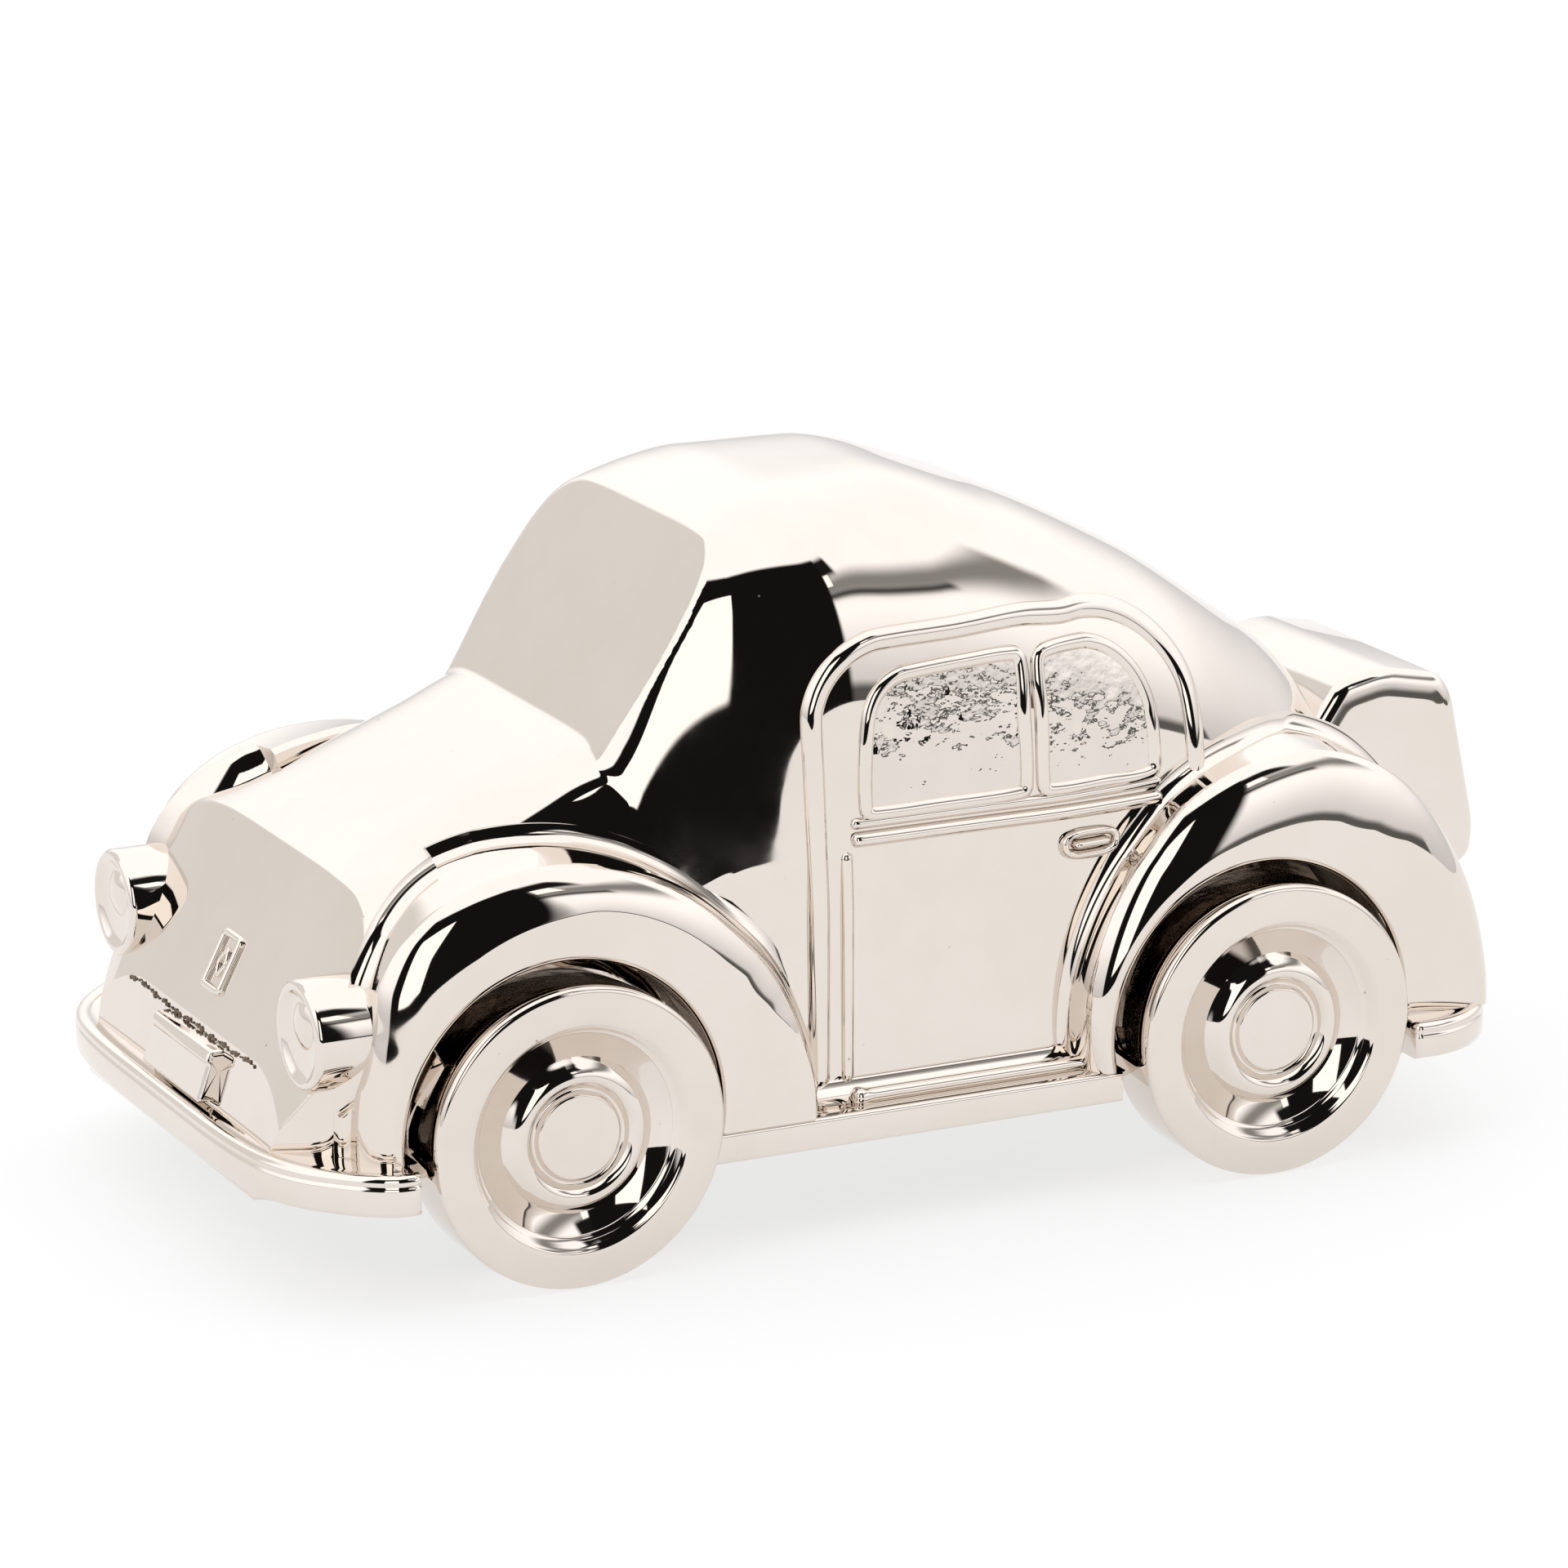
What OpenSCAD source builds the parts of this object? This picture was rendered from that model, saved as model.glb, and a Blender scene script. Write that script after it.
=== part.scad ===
// Plated diecast model car: hollow cast shell on a base plate, with four wheels that turn on two axles.
// Millimetres. Front is +X, the car's left is +Y, up is +Z, ground at Z = 0, origin below the middle.
// The body tables are in wheel radii, so the whole car grows and shrinks with the wheels.

/* [Wheels] */
// Radius of the wheels, which sets the size of the whole car
wheel_r = 15; // [13:0.5:18]
// Width of a wheel across its flat faces
wheel_w = 8; // [7:0.5:9]
// Distance between the axles in wheel radii
wheelbase_k = 5.07; // [5.0:0.01:5.14]
// Radius of the steel axles
axle_r = 1.5; // [1.2:0.1:1.8]
// Radial gap between an axle and its posts
axle_gap = 0.05; // [0.02:0.01:0.1]

/* [Shell] */
// Wall thickness of the cast shell
wall = 2; // [1.6:0.1:2.4]
// Radius of the wheel arch openings in wheel radii
arch_k = 1.13; // [1.1:0.01:1.16]
// Radius of the raised beads round the doors and windows
bead_r = 0.55; // [0.4:0.05:0.7]

/* [Base] */
// Thickness of the base plate
base_t = 2; // [1.6:0.1:3]
// Shank radius of the base screws
screw_r = 1.2; // [1:0.1:1.4]

/* [Hidden] */
R = wheel_r;
$fn = 96;
eps = 0.01;

// Main stations, in wheel radii unless said otherwise
axle_x = wheelbase_k / 2;
floor_k = 0.59;
face_y = 2.4;
flange_y = 2.16;
sill_z = 0.81;

// Height of the crown along the car
crown = [
  [-4.25, 0.75], [-4.2, 1.5], [-4.0, 2.25], [-3.6, 3.02], [-3.0, 3.49], [-2.2, 4.0],
  [-1.2, 4.46], [-0.4, 4.667], [0.3, 4.653], [0.8, 4.51], [1.12, 4.27], [1.84, 3.16],
  [2.7, 2.88], [3.4, 2.58], [3.66, 2.36], [4.2, 1.3], [4.27, 0.7]
];
// Half width of the body along the car
half_width = [
  [-4.25, 0.9], [-4.0, 1.1], [-3.2, 1.45], [-2.2, 1.72], [-1.0, 1.84], [0.6, 1.84],
  [1.2, 1.75], [1.9, 1.66], [3.0, 1.66], [3.62, 1.58], [4.27, 1.45]
];
// Height at which the side turns in towards the crown
shoulder = [
  [-4.25, 0.6], [-3.9, 1.2], [-3.0, 2.0], [-2.0, 2.4], [-1.0, 2.4], [0.6, 2.4],
  [1.12, 2.4], [1.86, 2.1], [2.7, 2.0], [3.62, 1.7], [4.27, 0.6]
];
// Squareness of the cross-section: 2 is an ellipse, more is boxier
square_k = [
  [-4.25, 2.2], [-2.2, 2.6], [-1.0, 3.1], [0.5, 3.2], [0.9, 4.0], [1.12, 8.0], [1.84, 6.0],
  [2.4, 4.6], [3.0, 4.2], [3.6, 4.6], [4.27, 5.0]
];
// Fender crest radius against the angle round the wheel, from the front edge to the rear edge
front_crest = [
  [-26, 1.45], [0, 1.5], [25, 1.64], [45, 1.69], [90, 1.68], [135, 1.7], [160, 1.79], [185, 1.84],
  [206, 1.86]
];
rear_crest = [
  [-26, 1.28], [0, 1.3], [25, 1.34], [55, 1.46], [75, 1.62], [93, 1.74], [108, 1.84], [125, 1.88],
  [150, 1.84], [180, 1.83], [206, 1.88]
];

// Smooth curve through a table, flat where the table turns
function rise(t, i) = (t[i + 1][1] - t[i][1]) / (t[i + 1][0] - t[i][0]);
function tang(t, i) =
  i == 0 ? rise(t, 0)
  : i == len(t) - 1 ? rise(t, i - 1)
  : rise(t, i - 1) * rise(t, i) <= 0 ? 0
  : 2 * rise(t, i - 1) * rise(t, i) / (rise(t, i - 1) + rise(t, i));
function cell(t, x, i = 0) = i >= len(t) - 2 || x < t[i + 1][0] ? i : cell(t, x, i + 1);
function curve(t, x) =
  let (i = cell(t, x), h = t[i + 1][0] - t[i][0], s = min(1, max(0, (x - t[i][0]) / h)))
  (2 * pow(s, 3) - 3 * pow(s, 2) + 1) * t[i][1]
  + (pow(s, 3) - 2 * pow(s, 2) + s) * h * tang(t, i)
  + (3 * pow(s, 2) - 2 * pow(s, 3)) * t[i + 1][1]
  + (pow(s, 3) - pow(s, 2)) * h * tang(t, i + 1);

// Crown and width of a surface set in by `w` wheel radii; the crown is also pulled along the car
function top_at(x, w) =
  w == 0 ? curve(crown, x) : min(curve(crown, x - w), curve(crown, x), curve(crown, x + w)) - w;
function wide_at(x, w) = curve(half_width, x) - w;
function shoulder_at(x, w) = min(curve(shoulder, x), top_at(x, w) - 0.03);

// One closed cross-section, from the top middle down the left side and back up the right
turn_share = 0.82;
function side_point(x, v, w, low) =
  let (
    t = top_at(x, w), b = wide_at(x, w), s = shoulder_at(x, w), n = curve(square_k, x),
    a = min(1, v / turn_share) * 90, d = max(0, (v - turn_share) / (1 - turn_share))
  )
  v <= turn_share
  ? [x * R, R * b * pow(sin(a), 2 / n), R * (s + (t - s) * pow(cos(a), 2 / n))]
  : [x * R, R * b, R * (s + (low - s) * d)];
function ring(x, w, low, nv) = concat(
  [for (k = [0 : nv]) side_point(x, k / nv, w, low)],
  [for (k = [nv : -1 : 1]) let (p = side_point(x, k / nv, w, low)) [p[0], -p[1], p[2]]]
);
// Outward y of the side at a place, in wheel radii
function side_y(x, z) =
  let (t = top_at(x, 0), s = shoulder_at(x, 0), n = curve(square_k, x), f = max(0, (z - s) / (t - s)))
  wide_at(x, 0) * pow(max(0, 1 - pow(f, n)), 1 / n);

// Every piece is set forward so that the origin is below the middle of the whole car
shift_k = 0.19;
module seat() {
  translate([R * shift_k, 0, 0]) children();
}

// Skin over a row of rings that all have the same number of points
module loft(rings) {
  m = len(rings[0]);
  last = len(rings) - 1;
  polyhedron(
    points = [for (g = rings) for (p = g) p],
    faces = concat(
      [[for (k = [m - 1 : -1 : 0]) k]],
      [[for (k = [0 : m - 1]) last * m + k]],
      [
        for (i = [0 : last - 1]) for (k = [0 : m - 1])
          let (a = i * m + k, b = i * m + (k + 1) % m, c = (i + 1) * m + (k + 1) % m, d = (i + 1) * m + k)
          [a, b, c, d]
      ]
    )
  );
}

outer_x = [
  -4.25, -4.2, -4.1, -3.9, -3.6, -3.2, -2.7, -2.2, -1.7, -1.2, -0.7, -0.2, 0.3, 0.7, 0.95, 1.12,
  1.35, 1.6, 1.84, 2.2, 2.7, 3.2, 3.5, 3.62, 3.8, 4.02, 4.2, 4.27
];
inner_x = [-4.08, -3.9, -3.5, -3.0, -2.3, -1.6, -0.9, -0.2, 0.4, 0.9, 1.1, 1.7, 1.9, 2.6, 3.4, 3.7, 4.1];

// Fender: a rounded hoop round the arch, its edge a flat flange
flange_w = 0.24;
crest_y = 1.86;
function fender_ring(a, c, tab) =
  let (
    rc = curve(tab, a), r0 = arch_k - 0.03, r1 = min(rc - 0.03, max(r0 + flange_w, rc - 0.36)),
    prof = concat(
      [[r0, 1.32], [r0, flange_y - 0.03], [r0 + 0.03, flange_y]],
      [for (t = [0 : 22.5 : 90]) [r1 + (rc - r1) * sin(t), crest_y + (flange_y - crest_y) * cos(t)]],
      [[rc - 0.03, 1.66], [rc - 0.1, 1.5], [rc - 0.2, 1.32]]
    )
  )
  [for (p = prof) [R * (c + p[0] * cos(a)), R * p[1], R * (1 + p[0] * sin(a))]];
function hollow_ring(a, c, tab, y0) =
  let (w = wall / R, rc = curve(tab, a) - w, r0 = arch_k - 0.1, r1 = max(r0 + 0.02, rc - 0.3), rr = max(r1 + 0.01, rc))
  [for (p = [[r0, y0], [r0, flange_y - w], [r1, flange_y - w], [rr, crest_y - 0.08], [rr - 0.005, y0]])
    [R * (c + p[0] * cos(a)), R * p[1], R * (1 + p[0] * sin(a))]];

module fender(c, tab) {
  loft([for (a = [-24 : 12 : 204]) fender_ring(a, c, tab)]);
}
module fender_hollow(c, tab, y0) {
  loft([for (a = [-36 : 18 : 216]) hollow_ring(a, c, tab, y0)]);
}

// Raised bead along a row of [x, z] places on the left side
function bead_dir(p, i) =
  let (a = p[max(0, i - 1)], b = p[min(len(p) - 1, i + 1)], d = [b[0] - a[0], b[1] - a[1]])
  d / norm(d);
function bead_ring(p, i, r, lift) =
  let (d = bead_dir(p, i), y = side_y(p[i][0], p[i][1]))
  [for (q = [45 : 90 : 315])
    [R * p[i][0] - r * cos(q) * d[1], R * y + lift + r * sin(q), R * p[i][1] + r * cos(q) * d[0]]];
module bead(p, r, lift = 0) {
  loft([for (i = [0 : len(p) - 1]) bead_ring(p, i, r, lift)]);
}
function arc(cx, cz, rx, rz, a0, a1, n) =
  [for (k = [0 : n]) let (a = a0 + (a1 - a0) * k / n) [cx + rx * cos(a), cz + rz * sin(a)]];

door_line = concat(
  [[0.62, 0.84], [0.62, 1.6], [0.62, 2.4], [0.62, 3.0]],
  arc(0.02, 3.3, 0.56, 0.52, 0, 90, 5),
  [[-0.5, 3.84], [-1.0, 3.84]],
  arc(-1.45, 3.05, 0.9, 0.76, 90, 180, 6),
  [[-2.36, 2.75], [-2.38, 2.5]]
);
front_window = concat(
  [[0.28, 2.66], [0.27, 3.2]], arc(-0.05, 3.25, 0.31, 0.34, 0, 90, 5), [[-0.5, 3.6], [-0.98, 3.6]],
  [[-1.0, 3.2], [-1.0, 2.7]]
);
rear_window = concat(
  [[-1.12, 2.66], [-1.12, 3.2], [-1.13, 3.6]], [[-1.3, 3.6]], arc(-1.42, 3.1, 0.6, 0.5, 90, 180, 5),
  [[-2.04, 2.7]]
);
belt_top = [for (x = [0.36 : -0.35 : -2.1]) [x, 2.6]];
belt_low = [for (x = [0.36 : -0.35 : -2.1]) [x, 2.5]];
pillar = [[0.42, 0.86], [0.42, 1.6], [0.42, 2.4], [0.42, 3.1]];

module side_details() {
  bead(door_line, bead_r);
  bead(front_window, bead_r * 0.8);
  bead(rear_window, bead_r * 0.8);
  bead(belt_top, bead_r * 0.8);
  bead(belt_low, bead_r * 0.8);
  bead(pillar, bead_r * 0.7);
}

lamp = [4.155, 1.63, 1.685];
lamp_r = 0.352;
lamp_back = 3.52;

module lamp_fairing() {
  hull() {
    translate([R * 3.4, R * lamp[1], R * lamp[2]]) rotate([0, 90, 0]) cylinder(r = R * 0.4, h = R * 0.42, $fn = 20);
    translate([R * 3.4, R * 1.66, R * 1.05]) rotate([0, 90, 0]) cylinder(r = R * 0.17, h = R * 0.55, $fn = 20);
  }
}

// Front and rear bumper blocks: wrap-round bars with rounded corners in plan
bump_y = 2.42;
front_bump = [3.65, 4.5, 0.9, 0.66, 0.94];
rear_bump = [-3.6, -4.6, 0.9, 0.65, 0.9];
module bumper_block(b, grow = 0) {
  s = b[1] > 0 ? 1 : -1;
  len_x = R * abs(b[1] - b[0]);
  rc = R * b[2];
  y = R * bump_y + grow;
  h = R * (b[4] - b[3]) + 2 * grow;
  translate([R * b[0], 0, R * b[3] - grow]) mirror([s > 0 ? 0 : 1, 0, 0]) union() {
    translate([-grow, -y + rc, 0]) cube([len_x + 2 * grow, 2 * (y - rc), h]);
    intersection() {
      union() {
        for (k = [-1, 1]) translate([len_x + grow - rc, k * (y - rc), 0]) cylinder(r = rc, h = h);
      }
      translate([-grow, -y, 0]) cube([len_x + 2 * grow, 2 * y, h]);
    }
    translate([-grow, -y, 0]) cube([max(eps, len_x + grow - rc), 2 * y, h]);
  }
}
module bumper_inside(b) {
  s = b[1] > 0 ? 1 : -1;
  len_x = R * abs(b[1] - b[0]);
  translate([R * b[0], 0, R * b[3] - 1]) mirror([s > 0 ? 0 : 1, 0, 0])
    translate([-1, -R * 1.3, 0]) cube([len_x - R * 0.45 + 1, R * 2.6, R]);
}

// Trunk on the tail
trunk_w = 1.07;
trunk_pts = [
  [-3.0, 1.5], [-3.0, 2.5], [-3.55, 2.5], [-3.84, 2.86], [-3.94, 2.93], [-4.2, 2.92], [-4.6, 2.83],
  [-4.69, 2.78], [-4.75, 2.68], [-4.88, 1.8], [-4.87, 1.66], [-4.81, 1.56], [-4.7, 1.5]
];
function trunk_face(g) = [
  [trunk_w + g / R, 1.64], [trunk_w + g / R, 2.76], [trunk_w - 0.04, 2.86], [trunk_w - 0.13, 2.93],
  [trunk_w - 0.13, 3.1], [-trunk_w + 0.13, 3.1], [-trunk_w + 0.13, 2.93], [-trunk_w + 0.04, 2.86],
  [-trunk_w - g / R, 2.76], [-trunk_w - g / R, 1.64], [-trunk_w + 0.04, 1.54], [-trunk_w + 0.12, 1.48],
  [trunk_w - 0.12, 1.48], [trunk_w - 0.04, 1.54]
];
module trunk_block(g = 0) {
  intersection() {
    translate([0, R * trunk_w + g, 0]) rotate([90, 0, 0]) linear_extrude(height = 2 * (R * trunk_w + g))
      polygon([for (p = trunk_pts) [R * p[0], R * p[1]]]);
    translate([-R * 5, 0, 0]) rotate([90, 0, 90]) linear_extrude(height = R * 3)
      polygon([for (p = trunk_face(g)) [R * p[0], R * p[1]]]);
    translate([0, 0, R]) linear_extrude(height = R * 3)
      polygon([
        [-R * 2.8, -R * 2], [-R * 2.8, R * 2], [-R * 4.68, R * 2], [-R * 4.72, R * trunk_w + g],
        [-R * 4.84, R * (trunk_w - 0.07)], [-R * 4.89, R * (trunk_w - 0.18)],
        [-R * 4.89, -R * (trunk_w - 0.18)], [-R * 4.84, -R * (trunk_w - 0.07)],
        [-R * 4.72, -R * trunk_w - g], [-R * 4.68, -R * 2]
      ]);
  }
}

// Screw bosses and the places where they stand
boss_xy = [[19, 17], [19, -17], [-19, 17], [-19, -17]];
boss_r = 3.2;
boss_top = 30;

// One drafted boss with the web that ties it to the side wall
module boss(p) {
  z0 = R * floor_k + base_t;
  wall_y = R * 1.73;
  hull() {
    translate([p[0], p[1], z0]) cylinder(r = boss_r, h = 1, $fn = 20);
    translate([p[0], p[1], boss_top - 1]) cylinder(r = boss_r - 0.4, h = 1, $fn = 20);
  }
  hull() {
    translate([p[0] - 1, p[1] > 0 ? p[1] : -wall_y, z0]) cube([2, wall_y - abs(p[1]), 1]);
    translate([p[0] - 0.8, p[1] > 0 ? p[1] : -wall_y, boss_top - 1]) cube([1.6, wall_y - abs(p[1]), 1]);
  }
}
// Sill below the doors, flush with the fender flanges, its top edge rounded off
module sill() {
  y1 = R * flange_y;
  hull() for (c = [[y1, R * sill_z - 0.5], [y1 - 0.5, R * sill_z]])
    translate([-R * axle_x, R * 1.3, R * floor_k]) cube([R * 2 * axle_x, c[0] - R * 1.3, c[1] - R * floor_k]);
}

module outer_body() {
  loft([for (x = outer_x) ring(x, 0, floor_k, 14)]);
}
module inner_body() {
  loft([for (x = inner_x) ring(x, wall / R, floor_k - 0.2, 9)]);
}
handle_at = [-1.43, 2.28];
handle_half = 2.6;
function handle_y() = R * side_y(handle_at[0], handle_at[1]);

module body_shell() {
  color([0.84, 0.82, 0.79]) seat() difference() {
    union() {
      difference() {
        union() {
          outer_body();
          for (s = [0, 1]) mirror([0, s, 0]) {
            fender(axle_x, front_crest);
            fender(-axle_x, rear_crest);
            side_details();
            lamp_fairing();
            sill();
          }
        }
        inner_body();
        for (s = [0, 1]) mirror([0, s, 0]) for (c = [[axle_x, 1.64, 0], [-axle_x, 1.66, 1]]) {
          fender_hollow(c[0], c[2] == 0 ? front_crest : rear_crest, c[1]);
          translate([R * c[0], R * c[1], R]) rotate([-90, 0, 0]) cylinder(r = R * arch_k, h = R, $fn = 48);
        }
      }
      for (p = boss_xy) boss(p);
    }
    for (p = boss_xy) translate([p[0], p[1], 0]) cylinder(r = screw_r + 0.03, h = 22, $fn = 20);
    // Slots that let the axles in from below
    for (c = [-axle_x, axle_x]) translate([R * c - axle_r - 0.6, -R * 2, 0])
      cube([2 * axle_r + 1.2, R * 4, R + axle_r + 0.6]);
    // Everything below the floor line, and the room for the bumpers, lamps, trunk and handles
    translate([-R * 5, -R * 3, -R]) cube([R * 10, R * 6, R + R * floor_k]);
    bumper_block(front_bump, eps);
    bumper_block(rear_bump, eps);
    translate([R * 3.56, -R * 3, 0]) cube([R * 2, R * 6, R * front_bump[4] + eps]);
    translate([-R * 5.52, -R * 3, 0]) cube([R * 2, R * 6, R * rear_bump[4] + eps]);
    for (s = [0, 1]) mirror([0, s, 0]) {
      translate([R * lamp_back, R * lamp[1], R * lamp[2]]) rotate([0, 90, 0])
        cylinder(r = R * lamp_r + 0.03, h = R, $fn = 36);
      for (k = [-1, 1]) translate([R * handle_at[0] + k * handle_half, R, R * handle_at[1]])
        rotate([-90, 0, 0]) cylinder(r = 0.63, h = R * 1.2, $fn = 16);
      // Flat seat for the handle
      translate([R * handle_at[0], handle_y() - 0.02, R * handle_at[1]]) rotate([-90, 0, 0])
        stadium(handle_half, 1.5, 3);
    }
    trunk_block(0.03);
    at_nose() badge_outline(-0.8, R, 0.02);
    plate_block(0.02);
  }
}

// Badge and number plate on the nose
nose_at = [3.99, 1.7];
nose_lean = 27.1;
badge_w = 0.3;
badge_h = 0.41;
module at_nose() {
  translate([R * nose_at[0], 0, R * nose_at[1]]) rotate([0, -nose_lean, 0]) children();
}
module badge_outline(x0, x1, g = 0) {
  translate([x0, -R * badge_w / 2 - g, -R * badge_h / 2 - g])
    cube([x1 - x0, R * badge_w + 2 * g, R * badge_h + 2 * g]);
}
module bonnet_badge() {
  color([0.86, 0.84, 0.81]) seat() at_nose() union() {
    difference() {
      badge_outline(-0.8, 0.9);
      translate([0.45, 0, 0]) badge_outline(0, 1, -0.6);
    }
    // Plain rhomb on the sunk field
    translate([0.4, 0, 0]) rotate([0, 90, 0]) linear_extrude(height = 0.35)
      polygon([[-R * badge_h / 2 + 1, 0], [0, R * badge_w / 2 - 1], [R * badge_h / 2 - 1, 0], [0, -R * badge_w / 2 + 1]]);
  }
}
plate_x = [4.1, 4.4];
plate_z = [0.94, 1.28];
module plate_block(g = 0) {
  x0 = R * plate_x[0];
  x1 = R * plate_x[1];
  z0 = R * plate_z[0];
  z1 = R * plate_z[1];
  translate([0, R * 0.5 + g, 0]) rotate([90, 0, 0]) linear_extrude(height = R + 2 * g)
    polygon([[x0, z0], [x1, z0], [x1, z1 - 0.9], [x1 - 0.35, z1 - 0.3], [x1 - 1, z1 + g], [x0, z1 + g]]);
}
module number_plate() {
  color([0.86, 0.84, 0.81]) seat() plate_block();
}

module base_plate() {
  z0 = R * floor_k;
  xs = [-3.5, -3.2, -2.8, -2.4, -2.0, -1.5, -1.0, -0.4, 0.2, 0.6, 0.9, 1.2, 1.5, 1.9, 2.4, 3.0, 3.5];
  function edge(x) = R * wide_at(x, 0) - wall - 0.35;
  color([0.62, 0.61, 0.6]) seat() difference() {
    union() {
      translate([0, 0, z0]) linear_extrude(height = base_t)
        polygon(concat([for (x = xs) [R * x, -edge(x)]], [for (i = [len(xs) - 1 : -1 : 0]) [R * xs[i], edge(xs[i])]]));
      for (c = [-axle_x, axle_x]) for (k = [-1, 1]) translate([R * c - 4, k * post_y - 2, z0])
        cube([8, 4, R + 4 - z0]);
    }
    for (c = [-axle_x, axle_x]) translate([R * c, -R * 2, R]) rotate([-90, 0, 0])
      cylinder(r = axle_r + axle_gap, h = R * 4);
    for (p = boss_xy) translate([p[0], p[1], 0]) {
      cylinder(r = screw_r + 0.15, h = R);
      cylinder(r = 2.5, h = z0 + 1.2);
    }
  }
}
post_y = 15;

module base_screws() {
  z0 = R * floor_k;
  color([0.5, 0.5, 0.52]) seat() for (p = boss_xy) translate([p[0], p[1], 0]) difference() {
    union() {
      translate([0, 0, z0 + 0.15]) cylinder(r = 2.4, h = 1.05);
      translate([0, 0, z0 + 0.5]) cylinder(r = screw_r, h = 11);
    }
    for (a = [0, 90]) rotate([0, 0, a]) translate([-1.4, -0.25, z0]) cube([2.8, 0.5, 0.65]);
  }
}

module luggage_trunk() {
  color([0.86, 0.84, 0.81]) seat() difference() {
    trunk_block();
    translate([-R * 4.5, -R * (trunk_w - 0.16), R * 1.68]) cube([R * 1.6, R * 2 * (trunk_w - 0.16), R * 0.66]);
    translate([-R * 4.4, -R * (trunk_w - 0.2), R * 1.68]) cube([R * 0.48, R * 2 * (trunk_w - 0.2), R * 0.98]);
  }
}

module front_bumper() {
  color([0.86, 0.84, 0.81]) seat() difference() {
    bumper_block(front_bump);
    bumper_inside(front_bump);
    bumper_step(front_bump);
  }
}
module rear_bumper() {
  color([0.86, 0.84, 0.81]) seat() difference() {
    bumper_block(rear_bump);
    bumper_inside(rear_bump);
    bumper_step(rear_bump);
  }
}
// Groove under the rolled top edge, along the straight front of a bumper
module bumper_step(b) {
  s = b[1] > 0 ? 1 : -1;
  translate([R * b[1] - (s > 0 ? 0.25 : 0), -R * (bump_y - b[2]), R * b[4] - 1.15]) cube([0.25, R * 2 * (bump_y - b[2]), 0.25]);
}

lamp_len = lamp[0] - lamp_back;
module headlight() {
  r = R * lamp_r;
  h = R * lamp_len;
  translate([R * lamp_back, R * lamp[1], R * lamp[2]]) rotate([0, 90, 0]) rotate_extrude()
    polygon([[0, 0], [r, 0], [r, h - 0.7], [r - 0.25, h - 0.25], [r - 0.7, h], [r - 1.05, h], [r - 1.2, h - 0.9], [0, h - 0.9]]);
}
module headlight_lens() {
  r = R * lamp_r - 1.25;
  h = R * lamp_len;
  dome = 0.75;
  big = (r * r + dome * dome) / (2 * dome);
  translate([R * lamp_back + h - 0.9, R * lamp[1], R * lamp[2]]) rotate([0, 90, 0]) union() {
    cylinder(r = r, h = 0.3);
    intersection() {
      translate([0, 0, 0.3 + dome - big]) sphere(r = big);
      cylinder(r = r, h = 0.3 + dome + 1);
    }
  }
}
module headlight_left() { color([0.86, 0.84, 0.81]) seat() headlight(); }
module headlight_right() { color([0.86, 0.84, 0.81]) seat() mirror([0, 1, 0]) headlight(); }
module headlight_lens_left() { color([0.8, 0.8, 0.8]) seat() headlight_lens(); }
module headlight_lens_right() { color([0.8, 0.8, 0.8]) seat() mirror([0, 1, 0]) headlight_lens(); }

module stadium(half, r, h) {
  union() {
    for (k = [-1, 1]) translate([k * half, 0, 0]) cylinder(r = r, h = h);
    translate([-half, -r, 0]) cube([2 * half, 2 * r, h]);
  }
}
module handle() {
  translate([R * handle_at[0], handle_y() + 0.02, R * handle_at[1]]) rotate([-90, 0, 0]) union() {
    difference() {
      stadium(handle_half, 1.45, 0.9);
      translate([0, 0, 0.3]) stadium(handle_half, 0.85, 1);
    }
    for (k = [-1, 1]) translate([k * handle_half, 0, -2.4]) cylinder(r = 0.6, h = 3.4);
    translate([-handle_half, -0.5, 0.75]) cube([2 * handle_half, 1.0, 0.65]);
    for (k = [-1, 1]) translate([k * handle_half, 0, 0]) cylinder(r = 0.8, h = 1.4);
  }
}
module door_handle_left() { color([0.86, 0.84, 0.81]) seat() handle(); }
module door_handle_right() { color([0.86, 0.84, 0.81]) seat() mirror([0, 1, 0]) handle(); }

module axle(c) {
  color([0.55, 0.55, 0.56]) seat() translate([R * c, -R * face_y + 2.6, R]) rotate([-90, 0, 0])
    cylinder(r = axle_r, h = 2 * (R * face_y - 2.6));
}
module front_axle() { axle(axle_x); }
module rear_axle() { axle(-axle_x); }

// Wheel turned about its own axis, its outer face up; z = 0 is the outer face
recess_r = 0.74;
recess_d = 1.9;
module wheel_form() {
  difference() {
    rotate_extrude() polygon([
      [0, -wheel_w - 2.6], [2.7, -wheel_w - 2.6], [2.7, -wheel_w], [R * 0.9, -wheel_w], [R - 0.5, -wheel_w + 0.3],
      [R, -wheel_w + 0.9], [R, -0.8], [R * 0.985, -0.1], [R * 0.97, 0], [R * recess_r, 0],
      [R * recess_r, -recess_d], [0, -recess_d]
    ]);
    translate([0, 0, -wheel_w - 3]) cylinder(r = axle_r, h = wheel_w + 3 - 2.6);
    rotate_extrude() polygon([
      [4.5, -wheel_w - eps], [R * 0.82, -wheel_w - eps], [R * 0.8, -wheel_w + 3.5], [5, -wheel_w + 3.5]
    ]);
  }
}
cap_ring = [
  [0, -0.75], [0.287, -0.75], [0.305, -0.95], [0.33, -0.8], [0.36, -0.7], [0.39, -0.8], [0.46, -1.25],
  [0.52, -1.35], [0.56, -1.2], [0.6, -1.0], [0.64, -1.1], [0.69, -1.3], [0.72, -0.9], [0.735, -0.6]
];
module cap_form() {
  rotate_extrude() polygon(concat([[0, -recess_d]], [for (p = cap_ring) [R * p[0], p[1]]], [[R * 0.735, -recess_d]]));
}
module at_wheel(c, s) {
  translate([R * c, s * R * face_y, R]) rotate([-90 * s, 0, 0]) children();
}
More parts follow.
